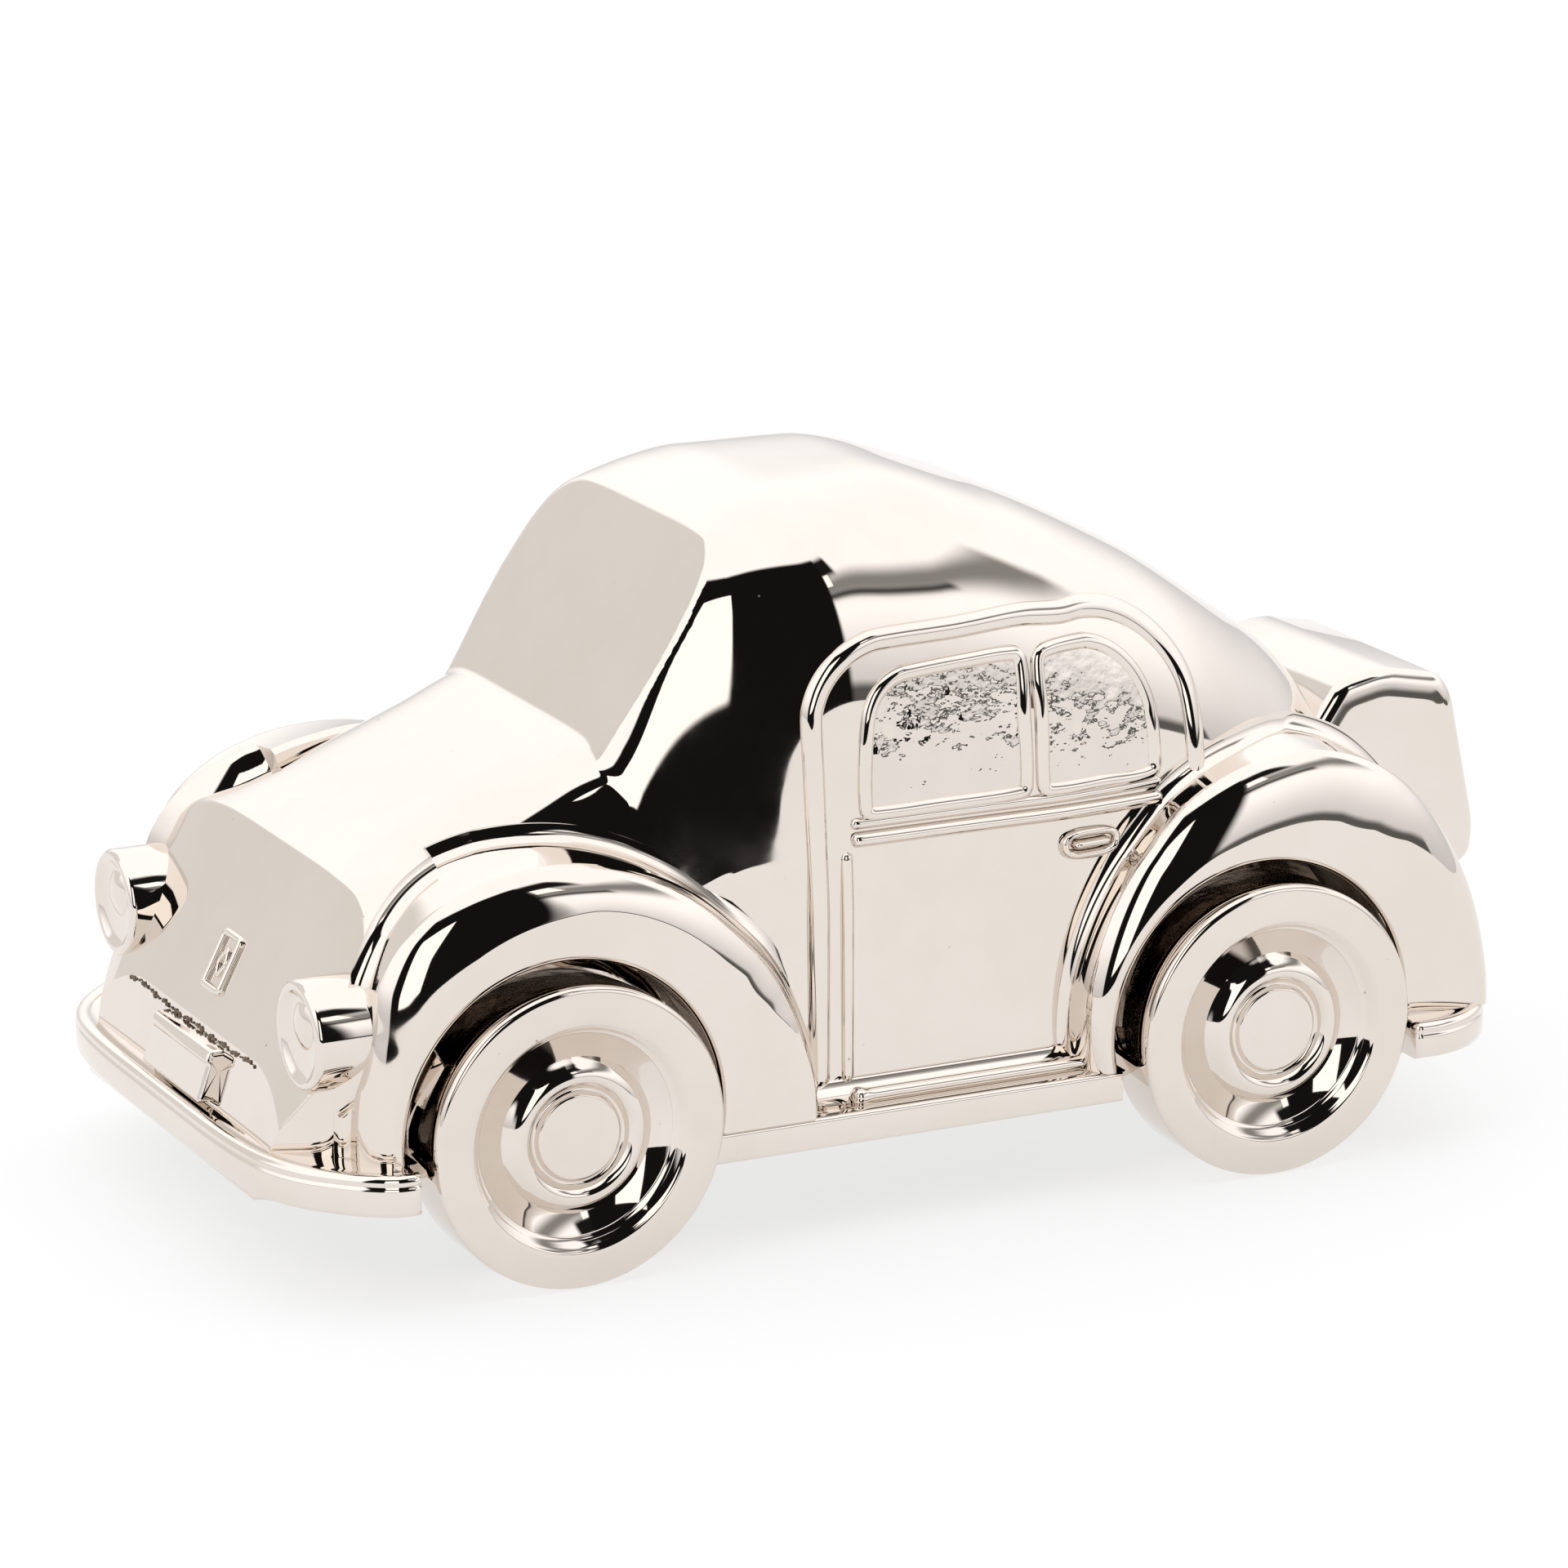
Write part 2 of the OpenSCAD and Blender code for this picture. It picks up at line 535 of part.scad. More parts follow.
module wheel_front_left() { color([0.8, 0.79, 0.76]) seat() at_wheel(axle_x, 1) wheel_form(); }
module wheel_front_right() { color([0.8, 0.79, 0.76]) seat() at_wheel(axle_x, -1) wheel_form(); }
module wheel_rear_left() { color([0.8, 0.79, 0.76]) seat() at_wheel(-axle_x, 1) wheel_form(); }
module wheel_rear_right() { color([0.8, 0.79, 0.76]) seat() at_wheel(-axle_x, -1) wheel_form(); }
module hub_cap_front_left() { color([0.86, 0.84, 0.81]) seat() at_wheel(axle_x, 1) cap_form(); }
module hub_cap_front_right() { color([0.86, 0.84, 0.81]) seat() at_wheel(axle_x, -1) cap_form(); }
module hub_cap_rear_left() { color([0.86, 0.84, 0.81]) seat() at_wheel(-axle_x, 1) cap_form(); }
module hub_cap_rear_right() { color([0.86, 0.84, 0.81]) seat() at_wheel(-axle_x, -1) cap_form(); }

body_shell();
base_plate();
luggage_trunk();
front_bumper();
rear_bumper();
number_plate();
bonnet_badge();
headlight_left();
headlight_right();
headlight_lens_left();
headlight_lens_right();
door_handle_left();
door_handle_right();
front_axle();
rear_axle();
wheel_front_left();
wheel_front_right();
wheel_rear_left();
wheel_rear_right();
hub_cap_front_left();
hub_cap_front_right();
hub_cap_rear_left();
hub_cap_rear_right();
base_screws();
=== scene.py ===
"""Plated diecast model car: smooth cast skins, plated finishes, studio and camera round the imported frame.

All shape tables are in wheel radii, x counted from midway between the axles, z from the ground, and are
carried into metres by the wheel boxes of the frame. Front is +X, the car's left is +Y, up is +Z.
"""

import bmesh
import bpy
import numpy as np
from mathutils import Matrix, Vector


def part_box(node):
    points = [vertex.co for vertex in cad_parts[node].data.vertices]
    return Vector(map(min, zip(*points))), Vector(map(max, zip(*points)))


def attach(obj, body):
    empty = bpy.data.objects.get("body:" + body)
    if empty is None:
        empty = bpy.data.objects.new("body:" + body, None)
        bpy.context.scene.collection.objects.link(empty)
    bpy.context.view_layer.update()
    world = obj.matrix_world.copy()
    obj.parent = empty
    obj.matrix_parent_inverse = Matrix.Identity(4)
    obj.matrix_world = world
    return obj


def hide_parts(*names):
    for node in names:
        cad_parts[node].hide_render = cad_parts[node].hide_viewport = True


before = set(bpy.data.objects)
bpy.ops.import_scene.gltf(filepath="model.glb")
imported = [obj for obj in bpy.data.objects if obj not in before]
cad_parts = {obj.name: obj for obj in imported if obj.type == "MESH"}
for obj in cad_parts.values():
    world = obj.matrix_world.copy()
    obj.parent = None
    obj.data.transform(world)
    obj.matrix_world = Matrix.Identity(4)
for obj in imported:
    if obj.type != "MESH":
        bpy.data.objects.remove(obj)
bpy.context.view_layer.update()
SIDES = ((1, "left"), (-1, "right"))
MERGE = 2e-6  # points closer than this are one, in metres

# ---------------------------------------------------------------- measures from the frame


def middle(node):
    """Centre of a node's box."""
    low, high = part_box(node)
    return (np.array(low) + np.array(high)) / 2


wheel_low, wheel_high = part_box("wheel_front_left")
R = (wheel_high.z - wheel_low.z) / 2
MID_X = (middle("wheel_front_left")[0] + middle("wheel_rear_left")[0]) / 2
AXLE = (middle("wheel_front_left")[0] - middle("wheel_rear_left")[0]) / 2 / R
FLANGE_Y = 2.16
FLOOR_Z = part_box("base_plate")[0].z / R
SILL_Z = 0.81
CAR = "car_body"


def to_metres(points):
    """Wheel radii to metres: scaled by the wheel radius, then moved to the middle between the axles."""
    return np.asarray(points, float) * R + np.array([MID_X, 0.0, 0.0])


# ---------------------------------------------------------------- curves


def curve(table, x):
    """Monotone cubic through a table: slopes are harmonic means, zero where the table turns."""
    t = np.asarray(table, float)
    xs, vs = t[:, 0], t[:, 1]
    x = np.clip(np.asarray(x, float), xs[0], xs[-1])
    i = np.clip(np.searchsorted(xs, x, side="right") - 1, 0, len(xs) - 2)
    d = np.diff(vs) / np.diff(xs)
    m = np.concatenate([[d[0]], np.zeros(len(xs) - 2), [d[-1]]])
    same = d[:-1] * d[1:] > 0
    m[1:-1] = np.where(same, 2 * d[:-1] * d[1:] / np.where(same, d[:-1] + d[1:], 1), 0)
    h = xs[i + 1] - xs[i]
    s = (x - xs[i]) / h
    a = (2 * s**3 - 3 * s**2 + 1) * vs[i] + (s**3 - 2 * s**2 + s) * h * m[i]
    return a + (3 * s**2 - 2 * s**3) * vs[i + 1] + (s**3 - s**2) * h * m[i + 1]


def soft_curve(table, x, reach=0.2):
    """The same curve with its slope changes eased: a bell-weighted mean over `reach` either side."""
    steps = np.linspace(-1, 1, 11)
    weights = np.cos(steps * np.pi / 2) ** 2 + 1e-6
    values = [w * curve(table, np.asarray(x, float) + reach * k) for k, w in zip(steps, weights)]
    return sum(values) / weights.sum()


def lower_of(a, b, soft):
    """Smaller of two heights, the corner between them rounded over a width `soft`."""
    h = np.maximum(soft - np.abs(a - b), 0) / soft
    return np.minimum(a, b) - h * h * soft / 4


def higher_of(a, b, soft):
    """Larger of two heights, the corner between them rounded over a width `soft`."""
    return -lower_of(-a, -b, soft)


def spaced(path, step, closed=False):
    """Even resampling of a path of points by its running length, rounded by a cubic through the points."""
    p = np.asarray(path, float)
    if closed:
        p = np.vstack([p, p[:1]])
    s = np.concatenate([[0], np.cumsum(np.linalg.norm(np.diff(p, axis=0), axis=1))])
    n = max(4, int(round(s[-1] / step)))
    q = np.linspace(0, s[-1], n + 1)
    i = np.clip(np.searchsorted(s, q, side="right") - 1, 0, len(s) - 2)
    u = ((q - s[i]) / (s[i + 1] - s[i]))[:, None]
    if closed:
        before, after = p[(i - 1) % (len(p) - 1)], p[(i + 2) % (len(p) - 1)]
    else:
        before, after = p[np.maximum(i - 1, 0)], p[np.minimum(i + 2, len(p) - 1)]
    a, b = p[i], p[i + 1]
    chord = np.linalg.norm(b - a, axis=1, keepdims=True)
    ta = (b - before) / np.maximum(np.linalg.norm(b - before, axis=1, keepdims=True), 1e-9) * chord
    tb = (after - a) / np.maximum(np.linalg.norm(after - a, axis=1, keepdims=True), 1e-9) * chord
    out = (2 * u**3 - 3 * u**2 + 1) * a + (u**3 - 2 * u**2 + u) * ta
    out = out + (3 * u**2 - 2 * u**3) * b + (u**3 - u**2) * tb
    return out[:-1] if closed else out


def arc(cx, cz, rx, rz, start, end):
    """Eight points of an ellipse arc, angles in degrees."""
    a = np.radians(np.linspace(start, end, 8))
    return [[cx + rx * np.cos(k), cz + rz * np.sin(k)] for k in a]


# ---------------------------------------------------------------- meshes


def quads(rows, cols, start=0, wrap_rows=False, wrap_cols=False, flip=False):
    """Corner numbers of a grid's quads: each cell joins a place, its right, diagonal and lower places."""
    r, c = np.meshgrid(np.arange(rows - (not wrap_rows)), np.arange(cols - (not wrap_cols)), indexing="ij")
    r2, c2 = (r + 1) % rows, (c + 1) % cols
    f = np.stack([r * cols + c, r * cols + c2, r2 * cols + c2, r2 * cols + c], -1).reshape(-1, 4)
    return start + (f[:, ::-1] if flip else f)


class Grid:
    """A grid of points (rows, columns, 3) in metres, and how its edges join."""

    def __init__(self, points, wrap_rows=False, wrap_cols=False, flip=False):
        self.points = np.asarray(points, float)
        self.wrap_rows, self.wrap_cols, self.flip = wrap_rows, wrap_cols, flip

    def mirrored(self):
        """The same grid on the car's right side."""
        return Grid(self.points * [1, -1, 1], self.wrap_rows, self.wrap_cols, not self.flip)


def make_piece(name, grids, body, material, nodes=(), closed=True, sharp=None):
    """One smooth mesh from grids: doubles merged, closed forms faced outwards, then put on its body."""
    verts, faces, start = [], [], 0
    for g in grids:
        rows, cols, _ = g.points.shape
        verts.append(g.points.reshape(-1, 3))
        faces.append(quads(rows, cols, start, g.wrap_rows, g.wrap_cols, g.flip))
        start += rows * cols
    verts, faces = np.vstack(verts), np.vstack(faces)
    mesh = bpy.data.meshes.new(name)
    mesh.vertices.add(len(verts))
    mesh.vertices.foreach_set("co", verts.astype(np.float32).ravel())
    mesh.loops.add(faces.size)
    mesh.loops.foreach_set("vertex_index", faces.astype(np.int32).ravel())
    mesh.polygons.add(len(faces))
    mesh.polygons.foreach_set("loop_start", np.arange(0, faces.size, 4, dtype=np.int32))
    mesh.update(calc_edges=True)
    work = bmesh.new()
    work.from_mesh(mesh)
    bmesh.ops.remove_doubles(work, verts=work.verts, dist=MERGE)
    if closed:
        bmesh.ops.recalc_face_normals(work, faces=work.faces)
    work.to_mesh(mesh)
    work.free()
    mesh.validate()
    mesh.shade_smooth()
    if sharp:
        mesh.set_sharp_from_angle(angle=np.radians(sharp))
    piece = bpy.data.objects.new(name, mesh)
    bpy.context.scene.collection.objects.link(piece)
    mesh.materials.append(material)
    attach(piece, body)
    if nodes:
        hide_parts(*nodes)
    return piece


def capped(rows):
    """Rows of closed loops with a flat cap at each end: a loop whose points all lie in its row's middle."""
    first, last = (np.repeat(rows[k].mean(0)[None], rows.shape[1], 0)[None] for k in (0, -1))
    return np.concatenate([first, rows, last])


def turned(profile, centre, side):
    """A profile of (radius, height) turned about the line through `centre` along Y, heights along `side`."""
    p = np.asarray(profile, float)
    a = np.linspace(0, 2 * np.pi, 192, endpoint=False)[:, None]
    x = p[None, :, 0] * np.cos(a)
    z = p[None, :, 0] * np.sin(a)
    y = side * p[None, :, 1] * np.ones_like(a)
    return Grid(np.stack([x, y, z], -1) + np.asarray(centre), wrap_rows=True)


def rounded(points, radius, steps=5):
    """A chain of points whose inner corners are replaced by arcs of up to `radius`."""
    p = np.asarray(points, float)
    out = [p[0]]
    for a, b, c in zip(p[:-2], p[1:-1], p[2:]):
        u, v = a - b, c - b
        lu, lv = np.linalg.norm(u), np.linalg.norm(v)
        cut = min(radius, 0.45 * lu, 0.45 * lv)
        q0, q1 = b + u / lu * cut, b + v / lv * cut
        t = np.linspace(0, 1, steps)[:, None]
        out.extend((1 - t) ** 2 * q0 + 2 * t * (1 - t) * b + t**2 * q1)
    out.append(p[-1])
    return np.array(out)


def closed_round(points, radius, steps=5):
    """A closed outline with all of its corners rounded."""
    p = np.asarray(points, float)
    chain = np.vstack([p[-1:], p, p[:1]])
    return rounded(chain, radius, steps)[1:-1]


# ---------------------------------------------------------------- body form

ROOF = [
    [-4.25, 0.75], [-4.2, 1.5], [-4.0, 2.25], [-3.6, 3.02], [-3.0, 3.49], [-2.2, 4.0], [-1.2, 4.46],
    [-0.4, 4.667], [0.3, 4.65], [0.6, 4.6], [0.85, 4.52], [1.12, 4.4], [1.4, 4.18], [1.84, 3.45], [2.4, 2.5],
    [4.3, 0.5],
]
BONNET = [
    [-4.3, 0.2], [0.0, 2.6], [1.4, 3.28], [1.84, 3.18], [2.7, 2.88], [3.4, 2.56], [3.75, 2.42], [4.35, 2.1],
]
HALF_WIDTH = [
    [-4.25, 0.9], [-4.0, 1.1], [-3.2, 1.45], [-2.2, 1.72], [-1.0, 1.84], [0.6, 1.84],
    [0.9, 1.81], [1.2, 1.73], [1.5, 1.63], [1.84, 1.53], [2.2, 1.48], [2.8, 1.5],
    [3.3, 1.58], [3.7, 1.74], [3.92, 1.82], [4.05, 1.79], [4.2, 1.66], [4.35, 1.48],
]
SHOULDER = [
    [-4.25, 0.6], [-3.9, 1.2], [-3.0, 2.0], [-2.0, 2.4], [-1.0, 2.4], [0.6, 2.4],
    [1.12, 2.35], [1.86, 2.0], [2.7, 1.8], [3.62, 1.5], [4.35, 0.6],
]
CAB_SQUARE = [
    [-4.25, 2.2], [-2.8, 2.6], [-1.8, 3.0], [-1.0, 3.4], [0.0, 3.8], [0.6, 4.6], [1.12, 6.4],
    [1.5, 6.0], [1.84, 4.6], [2.4, 3.0],
]
BONNET_SQUARE = [[0.0, 8.0], [1.84, 8.0], [2.3, 6.0], [2.9, 5.2], [3.4, 5.4], [3.8, 5.6], [4.35, 5.6]]
LEAN_FROM = 2.1
LEAN_EASE = 0.01  # square of the height over which the lean starts
LEAN = [[-4.25, 0.01], [-1.0, 0.03], [0.3, 0.035], [0.9, 0.085], [1.84, 0.1], [3.0, 0.09], [4.0, 0.0]]
SCREEN_TOP, SCREEN_FOOT = (1.12, 4.27), (1.84, 3.16)
NOSE_TOP, NOSE_FOOT = (3.66, 2.36), (4.2, 1.3)
VALANCE_TOP, VALANCE_FOOT = (4.19, 1.3), (4.32, 0.9)
SCREEN_EDGE, COWL_EDGE, NOSE_EDGE, VALANCE_EDGE = 0.035, 0.05, 0.04, 0.02  # widths of the rounded creases
WRAP, WRAP_FROM = 0.12, 0.95  # the nose curves back beyond this half width
WIDTH_REACH = 0.12  # easing of the half width along the car
TUB_EDGE, TUB_TURN_IN = 0.02, 0.14  # foot of the side: its chamfer, and how far it turns under


def along(a, b, x):
    """Height of the straight line through two places."""
    return a[1] + (b[1] - a[1]) / (b[0] - a[0]) * (x - a[0])


def hull(x, share, crest, square):
    """Height of a rounded hull at a share of the half width: a superellipse above the shoulder line."""
    low = soft_curve(SHOULDER, x)
    top = np.maximum(crest, low + 0.03)
    n = soft_curve(square, x)
    return low + (top - low) * np.maximum(1 - np.clip(share, 0, 1) ** n, 0) ** (1 / n)


def skin_height(x, share):
    """Height of the body at x and a share of its half width: cab cut by the windscreen plane, joined to the
    bonnet, both cut by the leaning nose and by the valance."""
    screen = along(SCREEN_TOP, SCREEN_FOOT, x)
    cab = lower_of(hull(x, share, curve(ROOF, x), CAB_SQUARE), screen, SCREEN_EDGE)
    both = higher_of(cab, hull(x, share, curve(BONNET, x), BONNET_SQUARE), COWL_EDGE)
    y = share * curve(HALF_WIDTH, x)
    wrapped = x + WRAP * np.maximum(y - WRAP_FROM, 0) ** 2
    nose = lower_of(both, along(NOSE_TOP, NOSE_FOOT, wrapped), NOSE_EDGE)
    return np.maximum(lower_of(nose, along(VALANCE_TOP, VALANCE_FOOT, x), VALANCE_EDGE), FLOOR_Z)


def lean(x, z):
    """Share by which the side leans in at a height: grows evenly above a line, with a soft start."""
    above = z - LEAN_FROM
    return 1 - soft_curve(LEAN, x, 0.3) * 0.5 * (above + np.sqrt(above**2 + LEAN_EASE))


def side_y(x, z):
    """Half width at a place on the side of the cab: a superellipse above the shoulder, upright below it."""
    low, n = soft_curve(SHOULDER, x), soft_curve(CAB_SQUARE, x)
    f = np.clip((z - low) / (curve(ROOF, x) - low), 0, 1)
    cab = np.maximum(1 - f**n, 0) ** (1 / n)
    m = soft_curve(BONNET_SQUARE, x)
    g = np.clip((z - low) / np.maximum(curve(BONNET, x) - low, 0.05), 0, 1)
    bonnet = np.maximum(1 - g**m, 0) ** (1 / m)
    return soft_curve(HALF_WIDTH, x, WIDTH_REACH) * np.maximum(cab, bonnet) * lean(x, z)


def body_sections(xs, count):
    """Half sections from the middle line down to the floor, each spaced evenly by its own length."""
    share = np.sin(np.linspace(0, np.pi / 2, 1600))
    rows = []
    for x in xs:
        b = float(soft_curve(HALF_WIDTH, x, WIDTH_REACH))
        z = skin_height(np.full_like(share, x), share)
        y = b * share * lean(x, z)
        y = np.append(y, [b, b - TUB_EDGE, b - TUB_TURN_IN])
        z = np.append(z, [FLOOR_Z + TUB_EDGE, FLOOR_Z, FLOOR_Z])
        s = np.concatenate([[0], np.cumsum(np.hypot(np.diff(y), np.diff(z)))])
        t = np.linspace(0, s[-1], count)
        rows.append(np.stack([np.full(count, x), np.interp(t, s, y), np.interp(t, s, z)], -1))
    return np.array(rows)


def stations():
    """Stations along the car, closer together at the creases of windscreen, bonnet and nose."""
    ends = (-4.25, 1.0, 1.25, 1.75, 1.95, 3.55, 3.78, 4.12, 4.4)
    counts = (120, 22, 12, 18, 40, 28, 24, 60)
    stretches = zip(ends[:-1], ends[1:], counts)
    return np.unique(np.concatenate([np.linspace(*stretch) for stretch in stretches]))


def body_skin(material):
    """Tub of the shell: half sections and their mirror image, joined in the middle, capped at both ends."""
    half = body_sections(stations(), 170)
    right = half[:, :0:-1] * [1, -1, 1]
    whole = np.concatenate([right, half], axis=1)
    nose_cap = np.stack([whole[-1], whole[-1] * [1, 0, 1]])
    tail_cap = np.stack([whole[0] * [1, 0, 1], whole[0]])
    grids = [Grid(to_metres(g), flip=True) for g in (whole, nose_cap, tail_cap)]
    return make_piece("body_skin", grids, CAR, material, nodes=["body_shell"], closed=False)


# ---------------------------------------------------------------- fenders and sills

ARCH = 1.1
CREST_Y = 1.93
FRONT_CREST = [
    [-26, 1.4], [0, 1.36], [18, 1.39], [30, 1.46], [42, 1.59], [54, 1.67], [66, 1.69], [90, 1.68],
    [135, 1.7], [160, 1.79], [185, 1.84], [206, 1.86],
]
REAR_CREST = [
    [-26, 1.28], [0, 1.3], [25, 1.34], [55, 1.46], [75, 1.62], [93, 1.74], [108, 1.84], [125, 1.88],
    [150, 1.84], [180, 1.83], [206, 1.88],
]
FRONT_CREASE = [
    [-26, 1.2], [10, 1.2], [30, 1.22], [60, 1.3], [71, 1.33], [88, 1.376], [101, 1.42], [123, 1.44],
    [147, 1.467], [157, 1.54], [165, 1.64], [180, 1.75], [206, 1.8],
]
REAR_CREASE = [
    [-26, 1.18], [56, 1.19], [76, 1.22], [101, 1.24], [114, 1.28], [125, 1.37], [135, 1.442], [152, 1.49],
    [159, 1.535], [165, 1.59], [180, 1.72], [206, 1.79],
]
CREASE_TURN = np.radians(20)
FENDER_INNER_Y = 1.3  # the hoop ends inside the tub
LIP = 0.04  # radius of the rolled arch lip
FILLET = 0.12  # largest fillet between fender and tub
FRONT_FOOT, REAR_FOOT = 0.92, 0.88  # feet of the fenders that stand on the bumpers


def fender_section(angle, crest, crease, centre_x):
    """Closed section of a fender in (radius, y): drum, rolled lip, flange, crease, shoulder, fillet."""
    rc, r1 = float(curve(crest, angle)), float(curve(crease, angle))
    r1 = min(r1, rc - 0.04)  # the crease stays inside the crest
    s0, c0 = np.sin(CREASE_TURN), np.cos(CREASE_TURN)
    base = (r1 - rc * s0) / (1 - s0)
    rise = (FLANGE_Y - CREST_Y) / c0
    t = np.linspace(CREASE_TURN, np.pi / 2, 22)
    shoulder_r, shoulder_y = base + (rc - base) * np.sin(t), CREST_Y + rise * np.cos(t)
    x, z = centre_x + rc * np.cos(np.radians(angle)), 1 + rc * np.sin(np.radians(angle))
    tub = float(side_y(np.clip(x, -4.2, 4.15), z))
    tub = max(FENDER_INNER_Y, min(tub, CREST_Y - 0.02))
    foot = min(FILLET, (CREST_Y - tub) * 0.8)
    u = np.linspace(0, np.pi / 2, 8)[1:]
    foot_r, foot_y = rc + foot * (1 - np.cos(u)), tub + foot * (1 - np.sin(u))
    lip = np.linspace(0, np.pi / 2, 6)
    lip_r, lip_y = ARCH + LIP * (1 - np.cos(lip)), FLANGE_Y - LIP * (1 - np.sin(lip))
    flange_r = np.linspace(ARCH + 0.05, r1 - 0.004, 8)
    back_r = [rc + foot - 0.03, rc - 0.2]
    radius = np.concatenate([[ARCH, ARCH], lip_r, flange_r, shoulder_r, foot_r, back_r])
    back_y = [tub - 0.05, FENDER_INNER_Y]
    y = np.concatenate([[FENDER_INNER_Y, 1.7], lip_y, np.full(8, FLANGE_Y), shoulder_y, foot_y, back_y])
    return radius, y


def fender(centre_x, crest, crease):
    """Hoop over a wheel: the section carried round the axle, its feet cut level on sill and bumper."""
    rows = []
    on_sill = SILL_Z - 0.01
    low_front, low_rear = (FRONT_FOOT, on_sill) if centre_x > 0 else (on_sill, REAR_FOOT)
    for angle in np.linspace(-22, 202, 225):
        radius, y = fender_section(angle, crest, crease, centre_x)
        c, s = np.cos(np.radians(angle)), np.sin(np.radians(angle))
        foot = low_front if angle < 90 else low_rear
        rows.append(np.stack([centre_x + radius * c, y, np.maximum(1 + radius * s, foot)], -1))
    return Grid(to_metres(capped(np.array(rows))), wrap_cols=True)


def arch_shade_hoop(centre_x):
    """Painted shade inside a wheel arch: a thin dark hoop just under the arch edge, carried round the axle.
    """
    angle = np.radians(np.linspace(-18, 198, 150))[:, None]
    inner, outer = ARCH - 0.004, ARCH + 0.01
    section = np.array([[outer, 1.32], [outer, 2.1], [inner, 2.1], [inner, 1.32]])
    x = centre_x + section[None, :, 0] * np.cos(angle)
    z = np.maximum(1 + section[None, :, 0] * np.sin(angle), SILL_Z)
    rows = np.stack([x, np.broadcast_to(section[None, :, 1], x.shape), z], -1)
    return Grid(to_metres(capped(rows)), wrap_cols=True)


def sill():
    """Sill under the doors: a hollow sweep out to a rolled edge and an upright face, carried along X."""
    half_length = AXLE - 1.05  # it ends inside the arch edges
    a = np.radians(np.linspace(180, 268, 10))
    sweep = np.stack([2.02 + 0.2 * np.cos(a), 1.0 + 0.19 * np.sin(a)], -1)
    corners = [[2.06, SILL_Z], [FLANGE_Y, SILL_Z - 0.01], [FLANGE_Y, FLOOR_Z], [FENDER_INNER_Y, FLOOR_Z]]
    section = np.vstack([[[FENDER_INNER_Y, 1.0], [1.8, 1.02]], sweep, rounded(corners, 0.035, 6)])
    xs = np.linspace(-half_length, half_length, 40)
    rows = np.array([np.stack([np.full(len(section), x), section[:, 0], section[:, 1]], -1) for x in xs])
    return Grid(to_metres(capped(rows)), wrap_cols=True)


def foot_roll():
    """Rolled moulding along the door foot: a half-round bar on the sill with a ball at either end."""
    front, length, ball, thick = 0.43, 1.86, 0.06, 0.048
    s = np.linspace(0, 1, 120)
    x = front - length * s
    near = np.minimum(s, 1 - s) * length
    swell = 1 + 0.3 * np.exp(-(((near - ball) / 0.05) ** 2))
    r = thick * swell * np.sqrt(np.clip(1 - (1 - np.clip(near / ball, 0, 1)) ** 2, 0, 1))
    a = np.linspace(0, 2 * np.pi, 20, endpoint=False)
    y = 1.965 + r[:, None] * 1.2 * np.cos(a)
    z = 0.845 + r[:, None] * np.sin(a)
    return Grid(to_metres(np.stack([np.broadcast_to(x[:, None], y.shape), y, z], -1)), wrap_cols=True)


# ---------------------------------------------------------------- beads on the side

BEAD_STEP = 0.02
SINK = 0.03  # how far the hidden edges of beads and panes reach under the surface


def surface_point(p, lift):
    """Point over the side at (x, z), raised by `lift` along the outward normal of the surface."""
    e = 1e-3
    x, z = p[..., 0], p[..., 1]
    y = side_y(x, z)
    dx, dz = (side_y(x + e, z) - y) / e, (side_y(x, z + e) - y) / e
    normal = np.stack([-dx, np.ones_like(y), -dz], -1)
    normal = normal / np.linalg.norm(normal, axis=-1, keepdims=True)
    return np.stack([x, y, z], -1) + normal * np.asarray(lift)[..., None]


def bead(path, half_width, height, power=0.6, closed=False):
    """Raised moulding: a bell section carried along a path on the side, its ends rounded off."""
    p = spaced(path, BEAD_STEP, closed)
    along_path = np.roll(p, -1, 0) - np.roll(p, 1, 0) if closed else np.gradient(p, axis=0)
    along_path = along_path / np.linalg.norm(along_path, axis=1, keepdims=True)
    across = np.stack([-along_path[:, 1], along_path[:, 0]], -1)
    t = np.linspace(-1, 1, 15)
    bell = np.cos(np.pi * t / 2) ** power
    s = np.arange(len(p)) * BEAD_STEP
    end = np.ones(len(p))
    if not closed:
        near = np.minimum(s, s[-1] - s) / 0.05
        end = np.sqrt(np.clip(1 - (1 - np.clip(near, 0, 1)) ** 2, 0, 1))
    spread = (t * half_width)[None, :, None] * (0.15 + 0.85 * end)[:, None, None]
    place = p[:, None] + across[:, None] * spread
    lift = height * bell[None] * end[:, None] - 0.004
    top = surface_point(place, lift)
    under = surface_point(place[:, [-1, 0]], np.full((len(p), 2), -SINK))
    rows = np.concatenate([top, under], axis=1)
    return Grid(to_metres(rows if closed else capped(rows)), wrap_cols=True, wrap_rows=closed)


